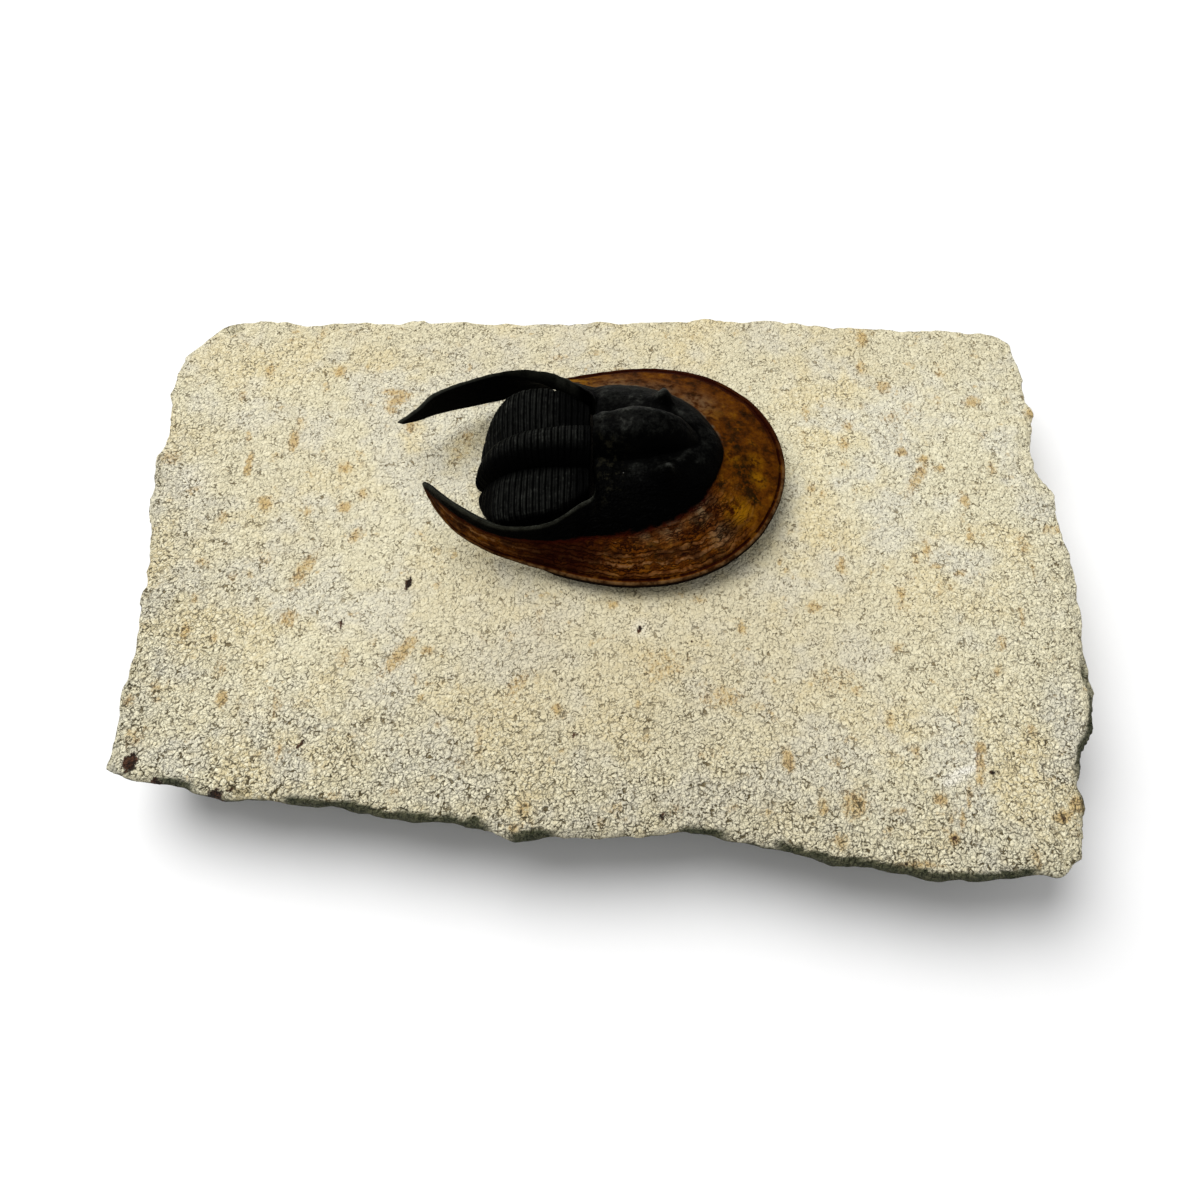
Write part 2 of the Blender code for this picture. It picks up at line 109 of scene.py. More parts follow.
# Head shield, one (u, v, w) for each spoke from the tip of the side blade round to the front: the outer edge,
# the foot of the black dome, and the blade's rim that goes on as the hind border and the midline
MARGIN = ((-22.6, 5.6, 6.8), (-21.8, 7.0, 5.6), (-20.3, 8.9, 4.4), (-18.0, 10.9, 3.3), (-14.5, 12.7, 2.4),
          (-11.0, 13.9, 1.9), (-7.6, 15.0, 1.8), (-4.1, 16.1, 1.7), (-0.7, 16.9, 1.7), (2.6, 17.4, 1.8),
          (6.0, 17.5, 2.0), (9.4, 17.2, 2.2), (12.8, 16.3, 2.5), (16.3, 14.6, 2.8), (19.8, 11.7, 3.1),
          (22.0, 8.7, 3.4), (23.8, 4.7, 3.5), (24.5, 0.0, 3.5))
FOOT = ((-22.6, 5.6, 7.0), (-21.7, 6.8, 7.0), (-20.2, 8.5, 7.6), (-18.0, 10.2, 7.0), (-14.3, 12.1, 6.2),
        (-10.6, 12.9, 5.9), (-7.0, 13.0, 5.5), (-3.6, 12.5, 5.1), (-0.9, 11.9, 4.8), (1.6, 12.0, 5.0),
        (4.6, 11.7, 5.3), (7.6, 10.8, 5.5), (10.2, 9.5, 5.7), (12.4, 7.8, 5.8), (14.2, 5.4, 6.0),
        (15.1, 3.7, 6.1), (15.8, 1.9, 6.3), (16.1, 0.0, 6.4))
CREST = ((-22.6, 5.5, 7.2), (-21.4, 6.8, 8.2), (-20.2, 8.3, 9.0), (-18.0, 9.9, 8.7), (-14.0, 11.8, 7.8),
         (-10.0, 12.4, 7.6), (-6.0, 11.6, 7.6), (-2.6, 9.2, 7.8), (-0.7, 7.4, 7.7), (-0.7, 3.4, 9.2),
         (-0.7, 0.0, 9.6), (2.0, 0.0, 9.8), (5.0, 0.0, 10.0), (7.5, 0.0, 9.9), (9.5, 0.0, 9.6),
         (10.8, 0.0, 9.2), (11.8, 0.0, 8.9), (12.2, 0.0, 8.8))
DOME_ROUNDING = (1.0, 1.0, 1.05, 1.1, 1.1, 1.15, 1.2, 1.5, 2.2, 3.2, 4.0, 4.0, 4.0, 4.0, 4.0, 4.0, 4.0, 4.0)
CORNER_SPOKE = 10
LAST_SPOKE = 17
# The share of a spoke that is its crest; 0 is its margin and 1 the foot of the dome
CREST_SHARE = 2.0
BLADE_SPOKES = 6.5
BLADE_CHANGE = 2.5
MARGIN_THICKNESS = 0.5
SHIELD_THICKNESS = 0.95
# The far edge reaches almost down to the rock where the blade leaves the brim
EDGE_DROP = 1.1
EDGE_DROP_SPOKE = 6.2
BLADE_RIM_THICKNESS = 0.4
BLADE_FILLING = 0.85
HEAD_FLOOR = 3.9
# The far blade is the longer one: behind this place it is stretched and turned in, more towards its tip
STRETCH_FROM = -12.0
STRETCH_LENGTH = 10.4
FAR_STRETCH = 0.37
FAR_TURN = 1.25
BLADE_TIP_HEIGHT = 6.9
FAR_TAPER = 0.3
# Raised rim along the margin and the groove inside it: distance from the margin, width and height
RIM_PLACE = 0.28
RIM_WIDTH = 0.24
RIM_HEIGHT = 0.16
GROOVE_PLACE = 0.72
GROOVE_WIDTH = 0.17
GROOVE_DEPTH = 0.16
# Cord along the blade's rim and the hind border of the head: height, width and the last spoke that carries it
CORD_HEIGHT = 0.3
CORD_WIDTH = 0.42
CORD_END = 8.5
# Folds of the brim: how often they come across it and along it, and their height on either side
FOLDS_ACROSS = 1.15
FOLDS_ALONG = 0.3
NEAR_FOLD = 0.17
FAR_FOLD = 0.04

# Glabella, the raised middle lobe: its crest (u, w) and its half width (u, v)
GLABELLA_CREST = ((-0.7, 12.2), (0.3, 12.8), (1.3, 12.9), (3.0, 13.5), (5.0, 13.7), (7.5, 13.4), (10.0, 12.3),
                  (11.7, 10.4), (13.0, 8.4), (14.4, 5.5))
GLABELLA_WIDTH = ((-0.7, 3.4), (3.0, 3.6), (5.0, 3.6), (8.0, 3.2), (11.0, 2.5), (13.0, 1.7), (14.4, 1.2))
GLABELLA_FALL = 4.0
GLABELLA_SQUARENESS = 3.3
CREASE_SOFTNESS = 0.22
EYE_PLACE = (8.3, 6.1)
EYE_RISE = 2.8
EYE_RADIUS = 1.35
EYE_RIDGE_END = (11.4, 2.3)
EYE_RIDGE_RISE = 0.45
EYE_RIDGE_RADIUS = 0.7
# Sunken half-moon fields beside the hind end of the glabella
ALA_PLACE = (2.3, 4.7)
ALA_RADIUS = 1.5
ALA_DEPTH = 0.45

# Body: the line of the furrows beside the axis (u, w), with what changes along it
BODY_LINE = ((-1.3, 7.3), (-2.6, 7.4), (-5.2, 7.4), (-7.8, 7.2), (-10.4, 6.6), (-12.8, 5.4), (-14.5, 3.7),
             (-15.4, 2.2), (-15.8, 1.0))
BODY_CURVE = [(u, 0.0, w) for u, w in BODY_LINE]
BODY_HALF_WIDTH = (6.8, 8.0, 9.8, 10.6, 10.8, 10.5, 9.0, 6.6, 4.0)
BODY_DRIFT = (0.0, 0.0, 0.0, -0.1, -0.3, -0.6, -1.1, -1.5, -1.8)
SIDE_DRIFT = 0.4
AXIS_HALF_WIDTH = (3.3, 3.2, 3.1, 3.0, 2.9, 2.7, 2.3, 1.8, 1.3)
AXIS_RISE = (2.4, 2.5, 2.45, 2.2, 2.1, 1.8, 1.4, 1.1, 0.7)
BODY_DEPTH = (3.0, 3.0, 3.0, 2.8, 2.6, 2.4, 2.3, 2.2, 2.1)
AXIS_SECTION = ((0.0, 1.0), (0.2, 0.985), (0.36, 0.92), (0.53, 0.8), (0.7, 0.62), (0.82, 0.42), (0.9, 0.26),
                (0.96, 0.1))
SIDE_SECTION = ((0.0, -0.05), (0.08, 0.02), (0.18, 0.14), (0.3, 0.22), (0.48, 0.29), (0.66, 0.3), (0.78, 0.2),
                (0.88, 0.0), (0.93, -0.3), (0.97, -0.75), (0.99, -1.25), (1.0, -1.9))
UNDERSIDE_SHARE = 0.97
SEGMENTS = 20
THORAX_LENGTH = 15.9
PYGIDIUM_GAP = 0.3
PYGIDIUM_RIBS = 3
# A rib from 0 to 1: how far it wanders, and where its faint middle furrow lies
RIB_WANDER = 0.09
MIDDLE_FURROW = 0.57
# Direction that the sides of the fossil with a painted sheen face: up and back, towards the large light
SHEEN_SIDE = (-0.25, 0.46, 0.85)
LINE_SAMPLES = 200
SLOPE_STEP = 0.01
MERGE_DISTANCE = 0.00001
SMOOTH_ANGLE = 50

# Layers of random lumps, each a height, a size and a seed, in millimetres
FACE_LUMPS = ((0.16, 2.2, 0.0), (0.11, 1.15, 5.0))
SIDE_LUMPS = ((0.4, 5.0, 2.0), (0.34, 2.4, 4.0), (0.16, 1.1, 6.0))
SHELL_LUMPS = ((0.05, 1.6, 0.0), (0.035, 0.7, 3.0))
DOME_LUMPS = ((0.07, 0.95, 5.0), (0.035, 0.45, 8.0))
BODY_LUMPS = ((0.05, 1.1, 0.0), (0.03, 0.55, 4.0))


# Measures

def spline(points, place):
    """A smooth curve through the points; place counts them from 0 and may lie between two."""
    last = len(points) - 1
    start = min(int(place), last - 1)
    share = place - start
    before = Vector(points[max(start - 1, 0)])
    here = Vector(points[start])
    there = Vector(points[start + 1])
    after = Vector(points[min(start + 2, last)])
    return 0.5 * (2 * here + (there - before) * share
                  + (2 * before - 5 * here + 4 * there - after) * share ** 2
                  + (3 * here - before - 3 * there + after) * share ** 3)


def between(values, place):
    """A straight mix of the two values on either side of place."""
    start = min(int(place), len(values) - 2)
    share = place - start
    return values[start] * (1 - share) + values[start + 1] * share


def along(table, u):
    """The value at u in a table of (u, value) pairs, on a smooth curve."""
    u = min(max(u, table[0][0]), table[-1][0])
    start = max(index for index, pair in enumerate(table[:-1]) if pair[0] <= u)
    share = (u - table[start][0]) / (table[start + 1][0] - table[start][0])
    return spline([(value, 0.0) for _, value in table], start + share)[0]


def direction_at(points, place):
    """The direction of a smooth curve at a place."""
    last = len(points) - 1
    ahead = spline(points, min(place + SLOPE_STEP, last))
    behind = spline(points, max(place - SLOPE_STEP, 0.0))
    return (ahead - behind).normalized()


def smooth_step(value, low, high):
    """0 below low, 1 above high and a soft change between them."""
    share = min(max((value - low) / (high - low), 0.0), 1.0)
    return share * share * (3 - 2 * share)


def bump(distance, width):
    """A soft hump: 1 at no distance and near 0 past twice its width."""
    return math.exp(-(distance / width) ** 2)


def fade(values, start, end):
    """For an array: 0 up to start, 1 from end on and a straight change between; end may be the lower."""
    return np.clip((values - start) / (end - start), 0.0, 1.0)


def hump(values, middle, width):
    """For an array: a soft hump round a middle."""
    return np.exp(-((values - middle) / width) ** 2)


def lumps(spot, size, seed=0.0):
    """Smooth random lumps of about the given size, from -1 to 1."""
    return noise.noise(Vector((spot.x + seed, spot.y - seed, spot.z + 2 * seed)) / size)


def layered_lumps(spot, layers):
    """The sum of layers of lumps."""
    return sum(height * lumps(spot, size, seed) for height, size, seed in layers)


def placed(spot, side):
    """Put a point of the far half on its side of the midline and set it on the block, in metres."""
    return Vector((spot.x + FOSSIL_X, spot.y * side + FOSSIL_Y, spot.z + FACE_HEIGHT)) * MM


# Mesh tools

def deselect_all():
    """Leave edit mode and select nothing."""
    if bpy.context.object and bpy.context.object.mode != "OBJECT":
        bpy.ops.object.mode_set(mode="OBJECT")
    for thing in bpy.context.view_layer.objects:
        thing.select_set(False)


def take_up(piece):
    """Make a piece the only selected and the active one."""
    deselect_all()
    piece.select_set(True)
    bpy.context.view_layer.objects.active = piece


def apply_modifier(piece, name, kind, **settings):
    """Add a modifier with its settings and apply it."""
    take_up(piece)
    modifier = piece.modifiers.new(name, kind)
    for key, value in settings.items():
        setattr(modifier, key, value)
    bpy.ops.object.modifier_apply(modifier=modifier.name)


def new_grid(name, rows, columns):
    """A flat grid of points, row by row, whose points are then moved to their places."""
    deselect_all()
    bpy.ops.mesh.primitive_grid_add(x_subdivisions=columns - 1, y_subdivisions=rows - 1, size=1.0)
    piece = bpy.context.object
    piece.name = name
    piece.data.name = name
    return piece


def coordinates(mesh):
    """The places of a mesh's points as an array."""
    places = np.zeros(len(mesh.vertices) * 3, np.float32)
    mesh.vertices.foreach_get("co", places)
    return places.reshape(-1, 3)


def normals(mesh):
    """The normals of a mesh's points as an array."""
    values = np.zeros(len(mesh.vertices) * 3, np.float32)
    mesh.vertices.foreach_get("normal", values)
    return values.reshape(-1, 3)


def set_coordinates(mesh, places):
    """Move a mesh's points to an array of places."""
    mesh.vertices.foreach_set("co", np.asarray(places, np.float32).ravel())
    mesh.update()


def store(mesh, name, values):
    """Keep one number for each point of a mesh, for its material to read."""
    attribute = mesh.attributes.get(name) or mesh.attributes.new(name, "FLOAT", "POINT")
    attribute.data.foreach_set("value", np.asarray(values, np.float32))


def read(mesh, name):
    """The numbers that store kept."""
    values = np.zeros(len(mesh.vertices), np.float32)
    mesh.attributes[name].data.foreach_get("value", values)
    return values


def fossil_places(mesh):
    """How far along the animal and how far across it each point of a mesh lies, in millimetres."""
    places = coordinates(mesh) / MM
    return places[:, 0] - FOSSIL_X, places[:, 1] - FOSSIL_Y


def convexity(mesh, rounds, height):
    """How far each point stands out of its surroundings, from -1 in a furrow to 1 on a ridge."""
    count = len(mesh.vertices)
    ends = np.zeros(len(mesh.edges) * 2, np.int32)
    mesh.edges.foreach_get("vertices", ends)
    first, second = ends.reshape(-1, 2).T
    neighbours = np.bincount(ends, minlength=count)
    places = coordinates(mesh).astype(float) / MM
    smooth = places.copy()
    for _ in range(rounds):
        for axis in range(3):
            total = np.bincount(first, smooth[second, axis], count)
            total += np.bincount(second, smooth[first, axis], count)
            smooth[:, axis] = 0.5 * smooth[:, axis] + 0.5 * total / neighbours
    return np.clip(((places - smooth) * normals(mesh)).sum(1) / height, -1.0, 1.0)


def facing_sheen(mesh):
    """Painted sheen of each point from the way it faces: most when it faces up and back, towards the large
    light.
    """
    return normals(mesh) @ np.array(SHEEN_SIDE) - 0.6


def close_up(piece):
    """Merge doubles and turn all faces outwards."""
    take_up(piece)
    bpy.ops.object.mode_set(mode="EDIT")
    bpy.ops.mesh.select_all(action="SELECT")
    bpy.ops.mesh.remove_doubles(threshold=MERGE_DISTANCE)
    bpy.ops.mesh.normals_make_consistent(inside=False)
    bpy.ops.object.mode_set(mode="OBJECT")


def finish_piece(piece, node, finish):
    """Shade a piece smooth, give it its material and let it stand for its CAD node."""
    take_up(piece)
    bpy.ops.object.shade_smooth_by_angle(angle=math.radians(SMOOTH_ANGLE))
    piece.data.materials.clear()
    piece.data.materials.append(finish)
    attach(piece, "root")
    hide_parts(node)


# Node tools

class Board:
    """A node tree with short calls for adding and joining nodes."""

    def __init__(self, tree):
        self.tree = tree

    def fill(self, socket, value):
        """Join another node's output to a socket, or set the socket's own value."""
        if isinstance(value, bpy.types.NodeSocket):
            self.tree.links.new(value, socket)
        else:
            socket.default_value = value

    def add(self, kind, inputs, **settings):
        """Add a node with its settings; inputs may be numbers, colours or other nodes' outputs."""
        node = self.tree.nodes.new(kind)
        for key, value in settings.items():
            setattr(node, key, value)
        for key, value in inputs.items():
            self.fill(node.inputs[key], value)
        return node

    def math(self, operation, first, second=0.0, third=0.0):
        """One step of arithmetic."""
        return self.add("ShaderNodeMath", {0: first, 1: second, 2: third}, operation=operation).outputs[0]

    def times(self, first, second):
        """One number times another."""
        return self.math("MULTIPLY", first, second)

    def linear(self, value, factor, start):
        """A start plus a value times a factor."""
        return self.math("MULTIPLY_ADD", value, factor, start)

    def uneven(self, value, noise, strength):
        """A value that noise raises and lowers."""
        return self.linear(self.math("SUBTRACT", noise, 0.5), strength, value)

    def scaled(self, vector, factor):
        """A vector times one number."""
        return self.add("ShaderNodeVectorMath", {0: vector, "Scale": factor}, operation="SCALE").outputs[0]

    def stretched(self, vector, factors):
        """A vector times three numbers."""
        return self.add("ShaderNodeVectorMath", {0: vector, 1: factors}, operation="MULTIPLY").outputs[0]

    def moved(self, vector, shift):
        """A vector plus another."""
        return self.add("ShaderNodeVectorMath", {0: vector, 1: shift}, operation="ADD").outputs[0]

    def noise(self, vector, scale, detail=2.0, roughness=0.5, shift=None, output="Fac"):
        """Soft noise from 0 to 1; a shift takes it from another part of the pattern."""
        spot = self.moved(vector, shift) if shift else vector
        inputs = {"Vector": spot, "Scale": scale, "Detail": detail, "Roughness": roughness}
        return self.add("ShaderNodeTexNoise", inputs).outputs[output]

    def cells(self, vector, scale, feature="F1"):
        """A pattern of cells: distances from their middles or edges, and a colour for each."""
        return self.add("ShaderNodeTexVoronoi", {"Vector": vector, "Scale": scale}, feature=feature).outputs

    def red(self, colour):
        """The red of a colour, as a number."""
        return self.add("ShaderNodeSeparateColor", {0: colour}).outputs[0]

    def span(self, value, low, high, to_low=0.0, to_high=1.0):
        """Spread a range of values over another, held at its ends."""
        inputs = {"Value": value, "From Min": low, "From Max": high, "To Min": to_low, "To Max": to_high}
        return self.add("ShaderNodeMapRange", inputs, interpolation_type="SMOOTHSTEP").outputs["Result"]

    def mix(self, share, first, second):
        """Mix two colours."""
        inputs = {0: share}
        for index, value in ((6, first), (7, second)):
            inputs[index] = value if isinstance(value, bpy.types.NodeSocket) else (*value[:3], 1.0)
        return self.add("ShaderNodeMix", inputs, data_type="RGBA", clamp_result=True).outputs[2]

    def lay(self, colour, *layers):
        """Lay colours over a colour one after another, each layer a (share, colour)."""
        for share, over in layers:
            colour = self.mix(share, colour, over)
        return colour

    def ramp(self, value, stops):
        """A colour for each value, from (place, colour) stops."""
        node = self.add("ShaderNodeValToRGB", {"Fac": value})
        points = node.color_ramp.elements
        while len(points) < len(stops):
            points.new(0.5)
        for point, (place, colour) in zip(points, stops):
            point.position = place
            point.color = (*colour, 1.0)
        return node.outputs["Color"]

    def attribute(self, name):
        """A number that is stored on the mesh."""
        return self.add("ShaderNodeAttribute", {}, attribute_name=name).outputs["Fac"]

    def group(self, tree, inputs):
        """Place a node group and give its outputs."""
        return self.add("ShaderNodeGroup", inputs, node_tree=tree).outputs

    def finish(self, shader, colour, height, distance):
        """Give a shader its colour and its fine relief; distance is how high a value of 1 stands."""
        relief = self.add("ShaderNodeBump", {"Height": height, "Strength": 1.0, "Distance": distance})
        self.fill(shader.inputs["Base Color"], colour)
        self.fill(shader.inputs["Normal"], relief.outputs["Normal"])


def new_group(name, inputs, outputs):
    """A node group; its inputs are (name, socket type, default) and its outputs (name, socket type)."""
    tree = bpy.data.node_groups.new(name, "ShaderNodeTree")
    for label, kind, default in inputs:
        socket = tree.interface.new_socket(name=label, in_out="INPUT", socket_type=kind)
        if default is not None:
            socket.default_value = default
    for label, kind in outputs:
        tree.interface.new_socket(name=label, in_out="OUTPUT", socket_type=kind)
    board = Board(tree)
    return tree, board, tree.nodes.new("NodeGroupInput").outputs, tree.nodes.new("NodeGroupOutput").inputs


def new_material(name, roughness, specular):
    """A material with a Principled shader; returns it with its board and its shader."""
    made = bpy.data.materials.new(name)
    made.use_nodes = True
    shader = made.node_tree.nodes["Principled BSDF"]
    shader.inputs["Roughness"].default_value = roughness
    shader.inputs["Specular IOR Level"].default_value = specular
    return made, Board(made.node_tree), shader


def crumb_group():
    """Crumbs of stone: domed grains as a height, the pits between them, and a shade for each grain."""
    inputs = (("Vector", "NodeSocketVector", None), ("Grain", "NodeSocketFloat", 2.0))
    outputs = (("Height", "NodeSocketFloat"), ("Pits", "NodeSocketFloat"), ("Shade", "NodeSocketFloat"))
    tree, board, given, result = new_group("Stone crumbs", inputs, outputs)
    drift = board.moved(board.noise(given["Vector"], 1.5, 1.0, output="Color"), (-0.5, -0.5, -0.5))
    spot = board.moved(given["Vector"], board.scaled(drift, 0.75))
    grains = board.cells(spot, given["Grain"])
    reach = grains["Distance"]
    fine = board.noise(spot, 3.4, 2.0, 0.6)
    domed = board.linear(board.times(reach, reach), -1.5, 1.0)
    board.fill(result["Height"], board.linear(fine, 0.7, domed))
    board.fill(result["Pits"], board.span(board.linear(fine, -0.75, reach), 0.26, 0.37))
    board.fill(result["Shade"], board.red(grains["Color"]))
    return tree


def grain_group():
    """Fine worn grain of the black calcite, as a height."""
    inputs = (("Vector", "NodeSocketVector", None), ("Scale", "NodeSocketFloat", 3.0))
    tree, board, given, result = new_group("Calcite grain", inputs, (("Height", "NodeSocketFloat"),))
    cells = board.cells(given["Vector"], given["Scale"])
    fine = board.noise(given["Vector"], given["Scale"], 4.0)
    board.fill(result["Height"], board.linear(cells["Distance"], -0.5, fine))
    return tree


def calcite_group(grain):
    """Black calcite of head and body, paler where it is worn and where it has a painted sheen or highlight,
    darker under painted shade: colour, roughness and fine height.
    """
    inputs = (("Vector", "NodeSocketVector", None), ("Wear and light", "NodeSocketFloat", 0.4))
    outputs = (("Color", "NodeSocketColor"), ("Roughness", "NodeSocketFloat"), ("Height", "NodeSocketFloat"))
    tree, board, given, result = new_group("Black calcite", inputs, outputs)
    spot = given["Vector"]
    cloud = board.noise(spot, 0.5, 3.0, 0.65)
    mottle = board.noise(spot, 1.9, 4.0, 0.7, (5.0, 1.0, 2.0))
    shell_tone = board.uneven(board.uneven(given["Wear and light"], mottle, 0.95), cloud, 0.6)
    cells = board.cells(spot, 0.36)
    chosen = board.span(board.red(cells["Color"]), 0.93, 0.95)
    speck = board.times(board.span(cells["Distance"], 0.06, 0.03), chosen)
    board.fill(result["Color"], board.mix(speck, board.ramp(shell_tone, BLACK_TO_PALE), WHITE_SPECK))
    board.fill(result["Roughness"], board.span(cloud, 0.3, 0.7, 0.42, 0.62))
    board.fill(result["Height"], board.group(grain, {"Vector": spot, "Scale": 3.4})["Height"])
    return tree


# Colours

# Stone: its palest crumbs, dull places, pale scrapes, stains, flecks, pits on the face and near its edges,
# the rock under the animal in painted shadow, darker and paler greenish painted shade on the broken sides,
# and the dark holes with their brown walls
PALE_CRUMB = (0.95, 0.895, 0.66)
DULL_SPECK = (0.52, 0.45, 0.3)
DULL_STONE = (0.56, 0.475, 0.3)
SCRAPED_STONE = (0.93, 0.9, 0.8)
RUST = (0.34, 0.18, 0.045)
FLECK = (0.22, 0.16, 0.08)
PITS = ((0.29, 0.225, 0.12), (0.13, 0.1, 0.045))
SHADED_ROCK_UNDER_ANIMAL = (0.012, 0.009, 0.006)
SIDE_SHADE_TONES = ((0.013, 0.021, 0.005), (0.06, 0.062, 0.028))
HOLES = ((0.02, 0.011, 0.006), (0.09, 0.04, 0.02))

# Black calcite of the shell; a table with places is a ramp from dark to pale
BLACK_TO_PALE = ((0.1, (0.0001, 0.0001, 0.0001)), (0.46, (0.0007, 0.0007, 0.0006)),
                 (0.7, (0.006, 0.0062, 0.0053)), (1.0, (0.034, 0.035, 0.03)))
WHITE_SPECK = (0.5, 0.48, 0.42)
DUSTY_SHELL = (0.02, 0.018, 0.01)
# Painted highlight along the cord of the blade's rim, and painted shade just beside it
CORD_HIGHLIGHT = (0.034, 0.035, 0.027)
SHADE_BESIDE_CORD = (0.0006, 0.0006, 0.0006)
# Underside and inner faces: the shell's black at its darkest, partly its own colour and partly painted shade
SHADED_UNDERSIDE = (0.0005, 0.0005, 0.0005)
# Painted highlight on the ribs, and painted shade in their furrows and shaded places
LIT_RIB = (0.0092, 0.0095, 0.0083)
RIB_SHADE = (0.0002, 0.0002, 0.0002)

# Orange-brown calcite of the brim: its front and its creased near side, then what lies over them, with
# painted highlights on the fold tops and painted shade in the creases
FRONT_BRIM = ((0.38, (0.007, 0.0025, 0.0003)), (0.48, (0.027, 0.0078, 0.0006)),
              (0.56, (0.057, 0.015, 0.0007)), (0.66, (0.09, 0.027, 0.0009)), (0.78, (0.15, 0.058, 0.002)))
NEAR_BRIM = ((0.36, (0.028, 0.006, 0.0006)), (0.46, (0.07, 0.0175, 0.0009)),
             (0.56, (0.115, 0.034, 0.0015)), (0.66, (0.15, 0.058, 0.006)))
FOLD_HIGHLIGHT = (0.21, 0.105, 0.042)
DARK_FOLD = (0.02, 0.007, 0.002)
DEEP_BROWN = (0.014, 0.0018, 0.0005)
ASHEN_BRIM = (0.14, 0.1, 0.055)
CREASE_SHADE = (0.008, 0.001, 0.0004)
BLOTCH = (0.006, 0.004, 0.001)
YELLOW_BRIM = (0.2, 0.084, 0.001)
GROOVE_BROWN = (0.011, 0.0009, 0.0003)
RIM_TONES = ((0.4, (0.022, 0.007, 0.0015)), (0.62, (0.12, 0.062, 0.022)))
FAR_RIM_BROWN = (0.014, 0.0012, 0.0005)
OUTER_LINE = (0.01, 0.004, 0.0015)
SEAM_BROWN = (0.022, 0.0018, 0.0004)
# Painted sheen along the far foot of the dome
FAR_FOOT_SHEEN_GREY = (0.085, 0.08, 0.055)


# Materials

def object_millimetres(board):
    """Object coordinates in millimetres."""
    return board.scaled(board.add("ShaderNodeTexCoord", {}).outputs["Object"], 1 / MM)


def limestone_material(settings, crumbs):
    """Cream limestone, worked with an air scribe: crumbs, pits, stains, painted shade on its broken sides and
    painted shadow on the rock under the animal.
    """
    made, board, shader = new_material("limestone", roughness=0.85, specular=0.2)
    spot = object_millimetres(board)
    coarse = board.attribute("coarse")
    ochre = board.attribute("ochre")
    dark = board.attribute("dark")
    grains = board.group(crumbs, {"Vector": spot, "Grain": 2.8})
    warm = board.noise(spot, 0.07, 3.0, 0.65, (20.0, 5.0, 0.0))
    grey = board.noise(spot, 0.11, 3.0, 0.65, (-40.0, 11.0, 0.0))
    speckle = board.noise(spot, 1.3, 3.0, 0.65)
    rust = board.noise(spot, 0.32, 3.0, 0.7, (31.0, -12.0, 0.0))
    flecks = board.noise(board.stretched(board.moved(spot, (2.0, 7.0, 4.0)), (1.35, 0.8, 1.0)), 2.2, 2.0, 0.6)
    unevenness = board.math("ADD", board.math("SUBTRACT", speckle, 0.5), board.math("SUBTRACT", flecks, 0.5))
    pale_share = board.times(board.span(grains["Shade"], 0.35, 0.95), board.linear(coarse, 0.4, 0.4))
    ochre_share = board.times(board.span(board.linear(unevenness, 1.2, ochre), 0.1, 0.8, 0.0, 0.75),
                              board.span(ochre, 0.02, 0.2))
    rust_share = board.times(board.span(rust, 0.6, 0.7), board.span(speckle, 0.4, 0.6, 0.1, 0.6))
    fleck_share = board.times(board.span(flecks, 0.62, 0.7), 0.7)
    pitted = board.linear(coarse, 0.2, board.noise(spot, 0.62, 1.0))
    pit_share = board.times(grains["Pits"], board.span(pitted, 0.48, 0.8, 0.05, 1.0))
    hole_share = board.times(board.span(board.linear(unevenness, 1.1, dark), 0.22, 0.6),
                             board.span(dark, 0.05, 0.3))
    stain = board.mix(board.span(flecks, 0.5, 0.66), settings.ochre_colour, RUST)
    colour = board.lay(
        settings.stone_colour,
        (board.span(warm, 0.42, 0.68, 0.0, 0.9), settings.warm_stone_colour),
        (board.span(grey, 0.45, 0.62, 0.0, 0.9), settings.grey_stone_colour),
        (pale_share, PALE_CRUMB),
        (board.span(speckle, 0.48, 0.28, 0.0, 0.5), DULL_SPECK),
        (board.times(board.attribute("dull"), 0.5), DULL_STONE),
        (board.times(board.attribute("pale"), 0.8), SCRAPED_STONE),
        (board.math("MAXIMUM", ochre_share, rust_share), stain),
        (fleck_share, FLECK),
        (pit_share, board.mix(coarse, *PITS)),
        # Painted shadow on the rock under the animal
        (board.attribute("hidden"), SHADED_ROCK_UNDER_ANIMAL),
        # Painted shade, greenish, on the broken sides
        (board.times(board.attribute("side"), 0.95), board.mix(board.span(speckle, 0.35, 0.65), *SIDE_SHADE_TONES)),
        (hole_share, board.mix(board.span(speckle, 0.45, 0.6), *HOLES)),
    )
    height = board.times(grains["Height"], board.span(coarse, 0.0, 1.0, 0.58, 1.5))
    height = board.linear(fleck_share, -1.1, board.linear(pit_share, -0.9, height))
    board.finish(shader, colour, height, settings.grain_height)
    return made


def brim_folds(board, spot, margin):
    """Folds of the near brim: distance from the creases between them, and a shade for each."""
    bend = board.times(board.noise(spot, 0.35, 1.0), 2.0)
    lane = board.add("ShaderNodeCombineXYZ", {"Y": board.linear(margin, 1.9, bend), "Z": 3.0}).outputs[0]
    lane = board.moved(lane, board.scaled(board.noise(spot, 1.2, 2.0, output="Color"), 1.5))
    return board.cells(lane, 1.0, "DISTANCE_TO_EDGE")[0], board.red(board.cells(lane, 1.0)["Color"])


